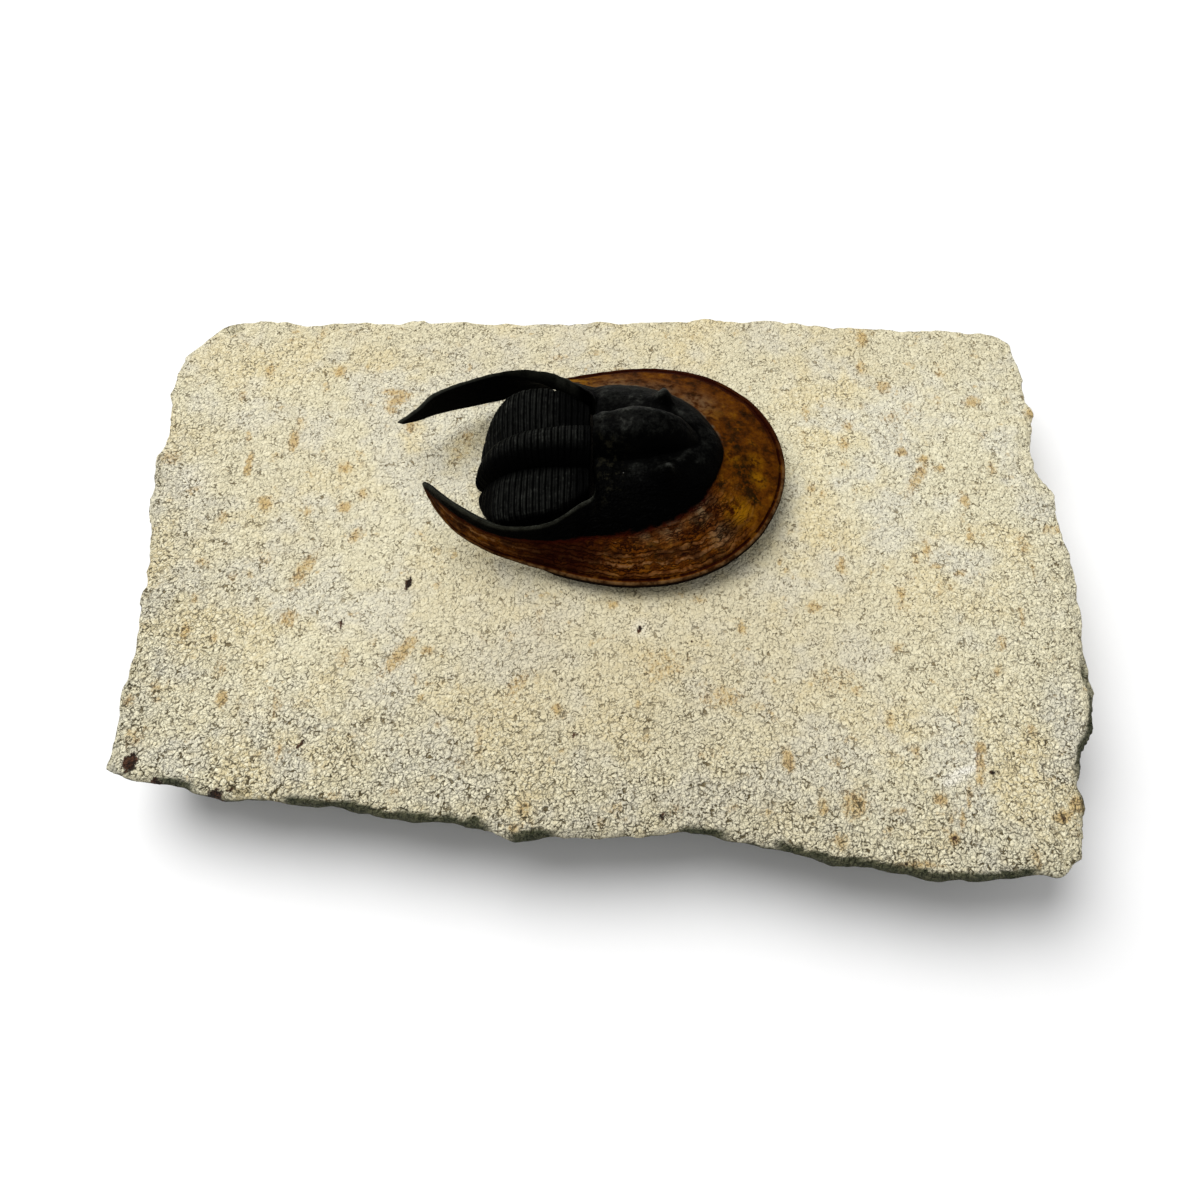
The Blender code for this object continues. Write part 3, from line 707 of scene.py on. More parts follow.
def brim_colour(board, spot):
    """Colour of the brim, with painted highlights on the near folds' tops and painted shade in their creases,
    two of the patterns it uses, and its fine relief.
    """
    margin = board.attribute("from_margin")
    near = board.attribute("near_side")
    pale_rim = board.attribute("pale_rim")
    mottle = board.noise(spot, 0.75, 5.0, 0.68)
    patches = board.noise(spot, 0.3, 3.0, 0.6, (9.0, 4.0, 2.0))
    spots = board.noise(spot, 1.1, 4.0, 0.7, (-3.0, 8.0, 1.0))
    folds, shade = brim_folds(board, spot, margin)
    inside = board.times(near, board.span(margin, 0.8, 1.2))
    # Painted highlight on the tops of the folds
    crest = board.times(board.span(folds, 0.1, 0.28), board.span(shade, 0.35, 0.9))
    wrinkled = board.lay(
        board.ramp(mottle, NEAR_BRIM),
        (board.times(crest, board.span(mottle, 0.42, 0.58, 0.15, 0.7)), FOLD_HIGHLIGHT),
        (board.span(patches, 0.49, 0.4, 0.0, 0.6), DARK_FOLD),
        (board.attribute("deep"), DEEP_BROWN),
    )
    torn = board.span(board.noise(spot, 0.45, 2.0, shift=(4.0, -6.0, 2.0)), 0.4, 0.55, 0.25, 1.0)
    # Painted shade in the creases between the folds
    crease_shade_share = board.times(board.times(board.span(folds, 0.11, 0.02), inside), torn)
    off_groove = board.math("ABSOLUTE", board.math("SUBTRACT", margin, GROOVE_PLACE))
    groove = board.times(board.span(off_groove, 0.22, 0.1), board.span(mottle, 0.62, 0.5, 0.45, 1.0))
    dark_band = board.times(board.span(margin, 1.6, 1.3), board.span(margin, 0.15, 0.3, 0.4, 1.0))
    far_rim = board.times(board.math("SUBTRACT", 1.0, pale_rim), 0.95)
    tone = board.linear(mottle, 0.75, board.times(patches, 0.4))
    colour = board.lay(
        board.ramp(tone, FRONT_BRIM),
        (board.times(near, 0.95), wrinkled),
        (board.times(board.attribute("ashen"), board.span(mottle, 0.38, 0.58)), ASHEN_BRIM),
        (board.times(crease_shade_share, 0.95), CREASE_SHADE),
        (board.times(board.span(spots, 0.49, 0.56), board.attribute("blotch")), BLOTCH),
        (board.times(board.span(mottle, 0.4, 0.55), board.attribute("yellow")), YELLOW_BRIM),
        (board.times(groove, 0.95), GROOVE_BROWN),
        (board.times(board.span(margin, 0.54, 0.4), pale_rim), board.ramp(mottle, RIM_TONES)),
        (board.times(dark_band, far_rim), FAR_RIM_BROWN),
        (board.span(margin, 0.13, 0.02), OUTER_LINE),
    )
    domed = board.times(board.span(folds, 0.0, 0.3), inside)
    relief = board.linear(groove, -1.2, board.linear(domed, 1.9, mottle))
    return colour, mottle, spots, relief


def head_material(settings, calcite):
    """Black dome and blades with the orange-brown brim round them."""
    made, board, shader = new_material("fossil_shell_head", roughness=0.5, specular=0.012)
    spot = object_millimetres(board)
    shell = board.group(calcite, {"Vector": spot, "Wear and light": board.attribute("wear_and_light")})
    brim, mottle, spots, brim_relief = brim_colour(board, spot)
    past_foot = board.uneven(board.attribute("past_foot"), mottle, 0.9)
    on_dome = board.span(past_foot, -0.18, 0.16)
    seam = board.times(board.span(past_foot, -0.85, -0.1), board.attribute("near_side"))
    at_foot = board.span(board.math("ABSOLUTE", past_foot), 0.5, 0.1)
    # Painted sheen: a pale band along the dome's foot on the far side
    far_foot_sheen = board.times(board.times(at_foot, board.attribute("far_foot_sheen")), board.span(spots, 0.4, 0.6))
    colour = board.lay(
        board.mix(board.times(seam, 0.8), brim, SEAM_BROWN),
        (on_dome, shell["Color"]),
        (far_foot_sheen, FAR_FOOT_SHEEN_GREY),
        (board.times(board.attribute("dust"), board.span(spots, 0.5, 0.68, 0.0, 0.6)), DUSTY_SHELL),
        # Painted highlight along the cord and the blade's crest, then painted shade beside the cord
        (board.times(board.attribute("rim"), board.span(mottle, 0.3, 0.6, 0.35, 1.0)), CORD_HIGHLIGHT),
        (board.attribute("shade_beside_cord"), SHADE_BESIDE_CORD),
        # Underside and inner faces near black: partly the shell's own black, partly painted shade
        (board.attribute("inner"), SHADED_UNDERSIDE),
    )
    least = board.linear(on_dome, -0.12, 0.62)
    roughness = board.math("MAXIMUM", board.times(shell["Roughness"], on_dome), least)
    board.fill(shader.inputs["Roughness"], roughness)
    board.finish(shader, colour, board.linear(brim_relief, 1.3, shell["Height"]), settings.shell_grain)
    return made


def body_material(settings, calcite):
    """Black calcite of the body, with fine streaks along each rib, painted highlights on the ribs, and
    painted shade in their furrows and where the axis, the head and the blade shade it.
    """
    made, board, shader = new_material("fossil_shell_body", roughness=0.5, specular=0.012)
    spot = object_millimetres(board)
    shell = board.group(calcite, {"Vector": spot, "Wear and light": board.attribute("wear_and_light")})
    streaks = board.noise(board.stretched(spot, (4.2, 0.4, 0.4)), 1.0, 4.0, 0.65)
    colour = board.lay(
        shell["Color"],
        # Painted highlight on the ribs, then painted shade in the furrows and where the body is shaded
        (board.times(board.attribute("lit_band"), board.span(streaks, 0.4, 0.6)), LIT_RIB),
        (board.times(board.attribute("furrow"), board.span(streaks, 0.3, 0.5, 0.5, 0.95)), RIB_SHADE),
        (board.times(board.attribute("shaded"), board.span(streaks, 0.25, 0.5, 0.85, 0.98)), RIB_SHADE),
    )
    board.fill(shader.inputs["Roughness"], shell["Roughness"])
    board.finish(shader, colour, board.linear(streaks, 1.5, shell["Height"]), settings.shell_grain)
    return made


def floor_material(settings):
    """Plain pale studio paper with a faint tooth."""
    made, board, shader = new_material("studio_paper", roughness=0.8, specular=0.2)
    tooth = board.noise(object_millimetres(board), 0.4, 3.0)
    pale = tuple(settings.floor_colour)
    shaded = tuple(PAPER_SHADE * channel for channel in pale)
    board.fill(shader.inputs["Base Color"], board.mix(tooth, pale, shaded))
    return made


# Block

# Stains and marks on the worked face, noted in the photo: pixels from its left and from its top, half width
# and half height in pixels, turn in degrees and strength
OCHRE_MARKS = (
    (270, 370, 6, 7, 0, 0.6), (340, 370, 7, 6, 20, 0.8), (242, 395, 5, 8, 0, 0.45),
    (300, 420, 4, 9, 20, 0.55), (293, 440, 5, 12, 0, 0.9), (248, 463, 4, 14, 0, 0.8),
    (170, 455, 12, 8, 0, 0.5), (265, 503, 7, 8, 20, 0.9), (345, 467, 7, 6, 0, 0.7),
    (344, 506, 7, 6, 30, 0.9), (362, 493, 7, 6, 0, 0.6), (308, 510, 5, 6, 0, 0.55),
    (222, 517, 6, 8, 0, 0.6), (467, 436, 7, 9, 0, 0.5), (410, 425, 6, 6, 0, 0.75),
    (355, 535, 5, 9, -30, 0.6), (303, 569, 8, 20, -25, 0.65), (201, 561, 6, 5, 0, 0.6),
    (265, 557, 9, 9, 0, 0.35), (287, 617, 9, 9, 0, 0.7), (194, 598, 4, 5, 0, 0.7),
    (184, 632, 5, 10, 0, 0.7), (214, 636, 4, 6, 0, 0.7), (342, 655, 7, 9, 0, 0.5), (427, 650, 7, 4, 0, 0.8),
    (399, 654, 8, 22, -35, 0.75), (220, 667, 8, 12, 0, 0.45), (155, 687, 6, 8, 0, 0.5),
    (221, 697, 6, 8, 0, 0.9), (420, 697, 4, 4, 0, 0.6), (245, 345, 6, 10, 0, 0.3), (323, 330, 5, 6, 0, 0.5),
    (318, 340, 6, 10, 0, 0.35), (436, 585, 5, 5, 0, 0.5), (560, 357, 8, 4, 0, 0.45),
    (127, 700, 6, 6, 0, 0.7), (275, 705, 6, 14, 0, 0.5), (277, 751, 5, 9, 0, 0.6),
    (133, 737, 10, 9, 0, 0.5), (330, 796, 10, 5, 0, 0.5), (232, 575, 5, 6, 0, 0.4),
    (862, 337, 6, 10, 0, 0.8), (861, 366, 5, 8, 0, 0.7), (884, 385, 7, 7, 0, 0.7), (938, 400, 4, 8, 0, 0.5),
    (973, 400, 9, 6, 10, 0.8), (1031, 411, 6, 5, 0, 0.9), (940, 373, 5, 5, 0, 0.6),
    (891, 416, 12, 7, 0, 0.4), (908, 407, 7, 7, 0, 0.4), (806, 412, 4, 10, 0, 0.55),
    (804, 440, 4, 14, 0, 0.3), (848, 425, 6, 6, 0, 0.6), (844, 443, 6, 7, 0, 0.7), (845, 463, 5, 5, 0, 0.6),
    (902, 450, 6, 5, 0, 0.9), (924, 457, 7, 4, 20, 0.9), (940, 466, 5, 4, 0, 0.85),
    (918, 476, 6, 20, -32, 0.7), (992, 467, 5, 9, 0, 0.5), (965, 499, 5, 10, 0, 0.7),
    (812, 486, 4, 5, 0, 0.6), (970, 535, 4, 9, 0, 0.6), (1024, 541, 7, 9, 0, 0.5),
    (1053, 528, 11, 6, 0, 0.55), (927, 549, 5, 11, 0, 0.6), (916, 557, 4, 6, 0, 0.7),
    (938, 566, 10, 3, 0, 0.6), (960, 573, 6, 4, 0, 0.7), (1034, 570, 3, 11, 0, 0.6),
    (842, 564, 5, 9, 0, 0.75), (902, 593, 5, 7, 0, 0.7), (813, 606, 9, 6, 0, 0.6),
    (903, 606, 10, 8, 0, 0.35), (944, 588, 12, 8, 0, 0.3), (823, 492, 3, 4, 0, 0.6),
    (431, 648, 5, 4, 0, 0.6), (517, 684, 8, 16, -30, 0.5), (539, 624, 6, 14, 0, 0.35),
    (557, 709, 6, 8, 0, 0.6), (613, 603, 5, 4, 0, 0.9), (664, 665, 26, 16, 0, 0.4),
    (722, 696, 22, 11, 0, 0.5), (742, 628, 4, 7, 0, 0.8), (699, 598, 8, 5, 0, 0.5),
    (758, 706, 8, 5, 0, 0.4), (789, 758, 6, 11, 0, 0.95), (478, 743, 4, 18, 0, 0.5),
    (524, 808, 6, 13, 0, 0.55), (513, 829, 7, 5, 0, 0.6), (600, 824, 4, 7, 0, 0.6),
    (708, 752, 12, 7, 0, 0.3), (461, 763, 9, 6, 0, 0.4), (392, 793, 8, 6, 0, 0.45),
    (436, 724, 5, 5, 0, 0.4), (675, 809, 8, 8, 0, 0.3), (837, 761, 8, 6, 0, 0.55),
    (838, 678, 26, 14, 0, 0.32), (856, 690, 6, 5, 0, 0.6), (891, 719, 5, 8, 0, 0.55),
    (916, 750, 6, 7, 0, 0.55), (982, 747, 6, 6, 0, 1), (982, 763, 5, 9, 0, 0.95), (981, 779, 4, 6, 0, 0.9),
    (970, 795, 2.5, 12, -8, 0.75), (963, 818, 3, 10, -8, 0.8), (955, 838, 5, 6, 0, 1),
    (952, 817, 2.5, 9, -20, 0.5), (941, 799, 8, 6, 0, 0.85), (823, 806, 6, 8, 0, 0.7),
    (855, 803, 15, 14, 0, 0.6), (841, 842, 9, 8, 0, 0.65), (899, 810, 8, 4, 0, 0.55),
    (1002, 642, 5, 8, 0, 0.65), (999, 669, 6, 6, 0, 0.5), (1022, 617, 3, 11, -8, 0.6),
    (1033, 731, 5, 6, 0, 0.6), (1064, 816, 10, 6, 15, 1), (1080, 803, 9, 7, 30, 1),
    (1037, 856, 6, 12, 0, 0.55), (920, 864, 24, 3, 0, 0.7), (898, 646, 8, 6, 0, 0.5),
    (397, 392, 17, 4, -12, 0.8), (397, 400, 12, 5, 20, 0.75), (391, 408, 6, 6, 0, 0.7),
)
DARK_MARKS = (
    (408, 582, 2.5, 7, -8, 1), (640, 628, 2.6, 3.2, 20, 1), (341, 621, 3.5, 3.5, 0, 0.75),
    (129, 761, 6.5, 10, 0, 1), (131, 745, 5, 6, 0, 0.4), (153, 783, 6.5, 4.5, 0, 1),
    (212, 793, 9, 5, 0, 0.9), (226, 789, 6, 4, 0, 0.5), (305, 733, 0.9, 11, -13, 0.9),
    (299, 744, 1.8, 4, -13, 1), (574, 735, 4, 2.5, 0, 0.55), (663, 815, 4, 5, 0, 0.6),
    (994, 772, 5, 2, 10, 0.7), (955, 838, 3, 4, 0, 0.7), (902, 450, 3, 2.5, 0, 0.5),
    (924, 458, 4, 1.5, 20, 0.5), (1064, 818, 6, 2, 20, 0.5), (340, 625, 2, 3, 0, 0.5),
    (690, 642, 2, 3, 0, 0.7), (645, 779, 2, 2, 0, 0.7), (668, 791, 4, 1.3, -20, 0.6),
    (549, 697, 3, 2.5, 0, 0.5), (911, 863, 10, 2, 0, 0.5),
)
PALE_MARKS = (
    (640, 627, 8, 8, 0, 0.4), (966, 770, 20.5, 3.3, 20, 1), (978, 758, 3.4, 7.4, 0, 0.9),
    (955, 780, 12, 3, 20, 0.8), (152, 410, 10, 16, 0, 0.3), (195, 480, 14, 20, 0, 0.25),
)
NOTED_MARKS = {"ochre": OCHRE_MARKS, "dark": DARK_MARKS, "pale": PALE_MARKS}

# Wide areas of duller stone, in the same order as the marks but in millimetres on the worked face
DULL_AREAS = ((6.0, -12.0, 32.0, 18.0, 0, 0.9), (8.0, -34.0, 30.0, 12.0, 0, 0.5),
              (-44.0, 12.0, 20.0, 24.0, 0, 0.35), (-2.0, 37.0, 62.0, 9.0, 0, 0.55))

# Stretches of the front edge where the broken side shows as a strip of painted shade: middle and half length
# along X, and how far the strip comes up over the edge
DARK_STRETCHES = ((-25.0, 13.0), (-8.0, 3.5), (11.5, 3.6), (34.5, 15.5), (-50.0, 3.0), (58.0, 3.0))
FRONT_STRIP = 1.0

# Weathering: what faces up more than this belongs to the worked face, which is rougher near its edge, waves
# widely (a layer of lumps) and is chipped along the edge
FACE_SLOPE = 0.6
PLAIN_ROUGHNESS = 0.5
EDGE_ROUGHNESS = 1.3
EDGE_FADE = 9.0
WIDE_WAVES = ((0.22, 9.0, 3.0),)
CHIPS = ((1.0, 3.4, 8.0),)
CHIP_DEPTH = 1.2
CHIP_REACH = 1.8
SINK_OF_FACE = 0.12
SINK_OF_SIDES = 0.05
MOST_BULGE = 0.3
BASE_LAYER = 0.05
BASE_FLATNESS = 0.02

# Ovals of rock that lie under the animal, where no light falls: middle, half sizes, and lowest height
HIDDEN_OVALS = (((3.0, 12.5), (19.5, 16.2), 13.5), ((3.8, 12.8), (16.6, 15.4), 12.0))


def on_the_face(mark):
    """A mark noted in the photo's pixels, in millimetres on the worked face."""
    across, down, half_width, half_height, turn, strength = mark
    lean = math.radians(PHOTO_SLOPE)
    right = (across - IMAGE_SIDE / 2) / PHOTO_FOCAL
    rise = (IMAGE_SIDE / 2 - down) / PHOTO_FOCAL
    reach = PHOTO_DISTANCE * math.sin(lean) / (math.sin(lean) - rise * math.cos(lean))
    x = PHOTO_AIM[0] + reach * right
    ahead = reach * (math.cos(lean) + rise * math.sin(lean)) - PHOTO_DISTANCE * math.cos(lean)
    pixel = reach / PHOTO_FOCAL
    return x, PHOTO_AIM[1] + ahead, half_width * pixel, half_height * pixel / FORESHORTENING, turn, strength


def mark_share(x, y, marks):
    """How strongly the marks colour a place on the worked face."""
    share = np.zeros_like(x)
    for mark_x, mark_y, half_width, half_height, turn, strength in marks:
        angle = math.radians(turn)
        ahead = (x - mark_x) * math.cos(angle) + (y - mark_y) * math.sin(angle)
        aside = (y - mark_y) * math.cos(angle) - (x - mark_x) * math.sin(angle)
        away = (ahead / half_width) ** 2 + (aside / half_height) ** 2
        share = np.maximum(share, strength * np.exp(-(0.8 * away) ** 1.5))
    return share


def hidden_share(places):
    """1 on the rock that lies in the animal's shadow and under its shell, and 0 elsewhere."""
    hidden = np.zeros(len(places))
    for middle, reach, start in HIDDEN_OVALS:
        away = np.hypot((places[:, 0] - middle[0]) / reach[0], (places[:, 1] - middle[1]) / reach[1])
        hidden = np.maximum(hidden, fade(away, 1.0, 0.93) * fade(places[:, 2], start, start + 0.6))
    return hidden


def copy_of_node(node, name):
    """A merged copy of a CAD node's mesh, as the start of the piece that stands for it."""
    deselect_all()
    piece = bpy.data.objects.new(name, frame["nodes"][node].data.copy())
    piece.data.name = name
    bpy.context.scene.collection.objects.link(piece)
    close_up(piece)
    return piece


def edge_distances(places, facing):
    """Distance of each point, in millimetres, from the block's broken side."""
    side = (np.abs(facing[:, 2]) < FACE_SLOPE) & (places[:, 2] < FACE_HEIGHT - 0.4)
    tree = kdtree.KDTree(int(side.sum()))
    for index, place in enumerate(places[side]):
        tree.insert(place, index)
    tree.balance()
    return np.array([tree.find(place)[2] for place in places])


def weathered(place, facing, edge):
    """How far a point of the block moves along its normal, for chips, lumps and tool marks."""
    spot = Vector(place)
    if place[2] < BASE_LAYER:
        return 0.0
    if facing[2] > FACE_SLOPE and edge > 0.6:
        rough = PLAIN_ROUGHNESS + EDGE_ROUGHNESS * math.exp(-edge / EDGE_FADE)
        move = rough * layered_lumps(spot, FACE_LUMPS) + layered_lumps(spot, WIDE_WAVES)
        chip = max(layered_lumps(spot, CHIPS) - 0.05, 0.0) * bump(edge, CHIP_REACH)
        return move - CHIP_DEPTH * chip - SINK_OF_FACE
    return min(layered_lumps(spot, SIDE_LUMPS) - SINK_OF_SIDES, MOST_BULGE)


def limestone_block(settings, finish):
    """The block: the CAD solid remade as a fine mesh, chipped, weathered and stained."""
    piece = copy_of_node("matrix_slab", "limestone_block")
    apply_modifier(piece, "Fine surface", "REMESH", mode="VOXEL", voxel_size=settings.block_detail)
    mesh = piece.data
    places = coordinates(mesh) / MM
    facing = normals(mesh)
    edge = edge_distances(places, facing)
    moves = np.array([weathered(place, normal, gap) for place, normal, gap in zip(places, facing, edge)])
    places += facing * moves[:, None]
    places[:, 2] = np.maximum(places[:, 2], 0.0)
    low, high = (np.array(corner) / MM for corner in CAD_BOX)
    places = np.clip(places, low, high)
    set_coordinates(mesh, places * MM)
    facing = normals(mesh)
    rougher = np.clip(0.62 - 0.012 * places[:, 1] - 0.003 * places[:, 0], 0.15, 1.0)
    store(mesh, "coarse", np.exp(-edge / 16.0) * rougher)
    # Painted shade on the broken sides (next line) and painted shadow under the animal (the line after)
    store(mesh, "side", painted_side_shade(places, facing, edge))
    store(mesh, "hidden", hidden_share(places))
    marks_of = {name: [on_the_face(mark) for mark in marks] for name, marks in NOTED_MARKS.items()}
    marks_of["dull"] = DULL_AREAS
    for name, marks in marks_of.items():
        store(mesh, name, mark_share(places[:, 0], places[:, 1], marks))
    plain_base(piece)
    finish_piece(piece, "matrix_slab", finish)


def painted_side_shade(places, facing, edge):
    """1 where painted shade darkens the block's undercut broken sides, and along stretches of its front edge
    where they show.
    """
    x, y, z = places.T
    broken = fade(facing[:, 2], 0.45, -0.05) * fade(z, FACE_HEIGHT - 0.5, FACE_HEIGHT - 1.3)
    broken *= 1.0 - 0.7 * fade(x, 46.0, 58.0) * fade(y, -34.0, -20.0)
    ragged = np.array([0.35 * lumps(Vector(place), 1.6, 9.0) for place in places])
    stretch = np.full(len(places), 0.12)
    for middle, reach in DARK_STRETCHES:
        stretch = np.maximum(stretch, fade(np.abs(x - middle), reach, reach - 1.5))
    front = fade(y, -12.0, -16.0) * (z < FACE_HEIGHT + 0.4)
    return np.maximum(broken, front * stretch * fade(edge - ragged, FRONT_STRIP, FRONT_STRIP - 0.3))


def plain_base(piece):
    """Make the flat underside of the block one plain face again."""
    take_up(piece)
    bpy.ops.object.mode_set(mode="EDIT")
    bpy.ops.mesh.select_mode(type="FACE")
    bpy.ops.object.mode_set(mode="OBJECT")
    for polygon in piece.data.polygons:
        polygon.select = polygon.center.z < BASE_FLATNESS * MM and polygon.normal.z < -0.9
    bpy.ops.object.mode_set(mode="EDIT")
    bpy.ops.mesh.dissolve_limited(angle_limit=math.radians(3))
    bpy.ops.object.mode_set(mode="OBJECT")


# Head

def mirrored_end(table):
    """A table that goes on past the midline, so that the curve crosses the midline squarely."""
    u, v, w = table[-2]
    return table + ((u, -v, w),)


def glabella_height(u, v):
    """Height of the middle lobe; beside the lobe it falls below the cheeks."""
    share = abs(v) / along(GLABELLA_WIDTH, u)
    return along(GLABELLA_CREST, u) - GLABELLA_FALL * share ** GLABELLA_SQUARENESS


def eye_height(u, v):
    """Rise of the eye tubercle and its ridge, and fall of the half-moon field behind it."""
    spot = Vector((u, abs(v)))
    eye = Vector(EYE_PLACE)
    ridge = Vector(EYE_RIDGE_END) - eye
    share = min(max((spot - eye).dot(ridge) / ridge.length_squared, 0.0), 1.0)
    off_ridge = (spot - eye - ridge * share).length
    rise = EYE_RISE * bump((spot - eye).length, EYE_RADIUS)
    rise += EYE_RIDGE_RISE * bump(off_ridge, EYE_RIDGE_RADIUS)
    return rise - ALA_DEPTH * bump((spot - Vector(ALA_PLACE)).length, ALA_RADIUS)


def dome_height(place, share):
    """Height of the dome with the glabella and the eyes; share 0 is the foot of the dome and 1 its crest."""
    lobe = glabella_height(place.x, place.y)
    crease = math.hypot(place.z - lobe, CREASE_SOFTNESS)
    return 0.5 * (place.z + lobe + crease) + eye_height(place.x, place.y) * share ** 0.3


def lying_share(row):
    """How far a spoke belongs to the lying shield: 0 is the standing blade and 1 the shield."""
    return min(max(1 - (BLADE_SPOKES - row) / BLADE_CHANGE, 0.0), 1.0)


def shield_point(row, share):
    """A point of a spoke: share 0 is the margin, 1 the foot of the dome and 2 the crest."""
    foot = spline(mirrored_end(FOOT), row)
    if share <= 1.0:
        return spline(mirrored_end(MARGIN), row).lerp(foot, share)
    crest = spline(mirrored_end(CREST), row)
    part = share - 1.0
    place = foot.lerp(crest, part)
    place.z = foot.z + (crest.z - foot.z) * (1 - (1 - part) ** between(DOME_ROUNDING, row))
    on_dome = min(max(row - BLADE_SPOKES - 0.5, 0.0), 1.0)
    if on_dome > 0:
        place.z += (dome_height(place, part) - place.z) * on_dome
    return place


def under_place(point, crest, row, side, share):
    """The point of the underside, or of the blade's inner face, under a point of the upper side."""
    thickness = MARGIN_THICKNESS + (SHIELD_THICKNESS - MARGIN_THICKNESS) * min(share, 1.0)
    if side > 0:
        thickness += EDGE_DROP * bump(row - EDGE_DROP_SPOKE, 1.3) * max(1.0 - share * 3.0, 0.0)
    below = Vector((point.x, point.y, min(point.z - thickness, HEAD_FLOOR)))
    along_rim = direction_at(mirrored_end(CREST), row)
    inward = Vector((along_rim.y, -along_rim.x, 0.0)).normalized()
    filling = BLADE_FILLING * max((crest - point).dot(inward), 0.0)
    inside = point + inward * (BLADE_RIM_THICKNESS + filling)
    return inside.lerp(below, lying_share(row))


def far_blade(point, side):
    """Stretch the far blade backwards, turn its tip in and make it slimmer towards the tip."""
    if side < 0:
        return point
    behind = max(STRETCH_FROM - point.x, 0.0)
    share = behind / STRETCH_LENGTH
    sink = (point.z - BLADE_TIP_HEIGHT) * FAR_TAPER * share ** 2
    return point + Vector((-behind * FAR_STRETCH * share ** 2, -FAR_TURN * share ** 1.4, -sink))


def fold_wave(gap, run, side):
    """Bent folds that run along the margin of the brim: 0 in the creases between them and 1 on top."""
    bend = 0.55 * noise.noise(Vector((run * 0.35, gap * 0.35, side * 3.0)))
    wave = noise.noise(Vector((run * FOLDS_ALONG, (gap + bend) * FOLDS_ACROSS, side * 9.0)))
    small = noise.noise(Vector((run * 1.1, gap * 2.6, side * 5.0)))
    return min(abs(wave + 0.22 * small) * 3.2, 1.0)


def shield_relief(spot, gap, run, on_brim, side):
    """Small relief of the shell, along its normal: rim, groove, folds of the brim and unevenness."""
    relief = layered_lumps(spot, SHELL_LUMPS) + (1.0 - on_brim) * layered_lumps(spot, DOME_LUMPS)
    if on_brim > 0:
        rim = RIM_HEIGHT * bump(gap - RIM_PLACE, RIM_WIDTH)
        groove = GROOVE_DEPTH * bump(gap - GROOVE_PLACE, GROOVE_WIDTH)
        height = NEAR_FOLD if side < 0 else FAR_FOLD
        inside = smooth_step(gap, 0.5, 1.1)
        folds = height * (fold_wave(gap, run, side) - 0.5) * inside
        relief += on_brim * (rim - groove + folds + 0.07 * lumps(spot, 2.6, 7.0) * inside)
    return relief


def cord_rise(row, gap_to_crest):
    """The raised cord that runs along the blade's rim and on along the hind border."""
    fade = smooth_step(row, 0.5, 3.0) * (1.0 - smooth_step(row, CORD_END - 0.8, CORD_END))
    return CORD_HEIGHT * fade * bump(gap_to_crest - 0.25, CORD_WIDTH)


def head_shares(settings):
    """Places across a spoke: closer together at the margin and at the foot of the dome."""
    brim = [(step / settings.brim_columns) ** 1.25 for step in range(settings.brim_columns)]
    dome = [1.0 + step / settings.dome_columns for step in range(settings.dome_columns)]
    return brim + dome + [CREST_SHARE]


def head_rows(settings):
    """Spokes from the near tip round the front to the far tip, as (spoke, side)."""
    count = LAST_SPOKE * settings.rows_per_spoke
    near = [(step / settings.rows_per_spoke, -1) for step in range(count + 1)]
    far = [(step / settings.rows_per_spoke, 1) for step in range(count - 1, -1, -1)]
    return near + far


def head_upper(settings):
    """Places of the head's upper side, line by line, and what is known about each: its spoke, side and share,
    how far it is from the margin, past the foot of the dome, round the margin, and from the crest."""
    shares = head_shares(settings)
    grid = []
    facts = []
    run = 0.0
    before = None
    for row, side in head_rows(settings):
        margin = shield_point(row, 0.0)
        run += (margin - before).length if before else 0.0
        before = margin
        width = (shield_point(row, 1.0) - margin).length
        line = [shield_point(row, share) for share in shares]
        if row >= CORNER_SPOKE:
            line[-1].y = 0.0
        if row == LAST_SPOKE:
            for point in line:
                point.y = 0.0
        grid.append(line)
        crest = line[-1]
        facts.append([(row, side, share, share * width, (share - 1.0) * width, run, (crest - point).length)
                      for share, point in zip(shares, line)])
    return grid, facts


def head_shield(settings, finish):
    """The head shield: brim, dome, glabella, eyes and the two side blades, in one closed shell."""
    grid, facts = head_upper(settings)
    piece = new_grid("head_shield", len(grid), len(grid[0]))
    mesh = piece.data
    told = [fact for line in facts for fact in line]
    upper = []
    lower = []
    for line, line_facts in zip(grid, facts):
        for point, fact in zip(line, line_facts):
            side = fact[1]
            below = under_place(point, line[-1], *fact[:3])
            upper.append(placed(far_blade(point, side), side))
            lower.append(placed(far_blade(below, side), side))
    set_coordinates(mesh, [tuple(point) for point in upper])
    add_shield_relief(mesh, upper, told)
    store(mesh, "spot", range(len(upper)))
    store_head_facts(mesh, told)
    add_underside(piece, lower)
    close_up(piece)
    u, v = fossil_places(mesh)
    # Painted shade at the hind border and on the near dome; painted highlights and shade at the listed places
    # of the dome
    hind_shade = hump(u, -0.6, 1.0) * (np.abs(v) < 7.0)
    painted_light_and_shade = patch_share(u, v, PAINTED_LIGHT_PLACES) - 0.35 * hind_shade - 0.22 * read(mesh, "painted_dome_shade")
    # Paler on worn ridges, with a painted sheen where the shell faces up and back
    store(mesh, "wear_and_light", 0.43 + 0.3 * convexity(mesh, 18, 0.16) + 0.45 * facing_sheen(mesh) + painted_light_and_shade)
    finish_piece(piece, "cephalon", finish)


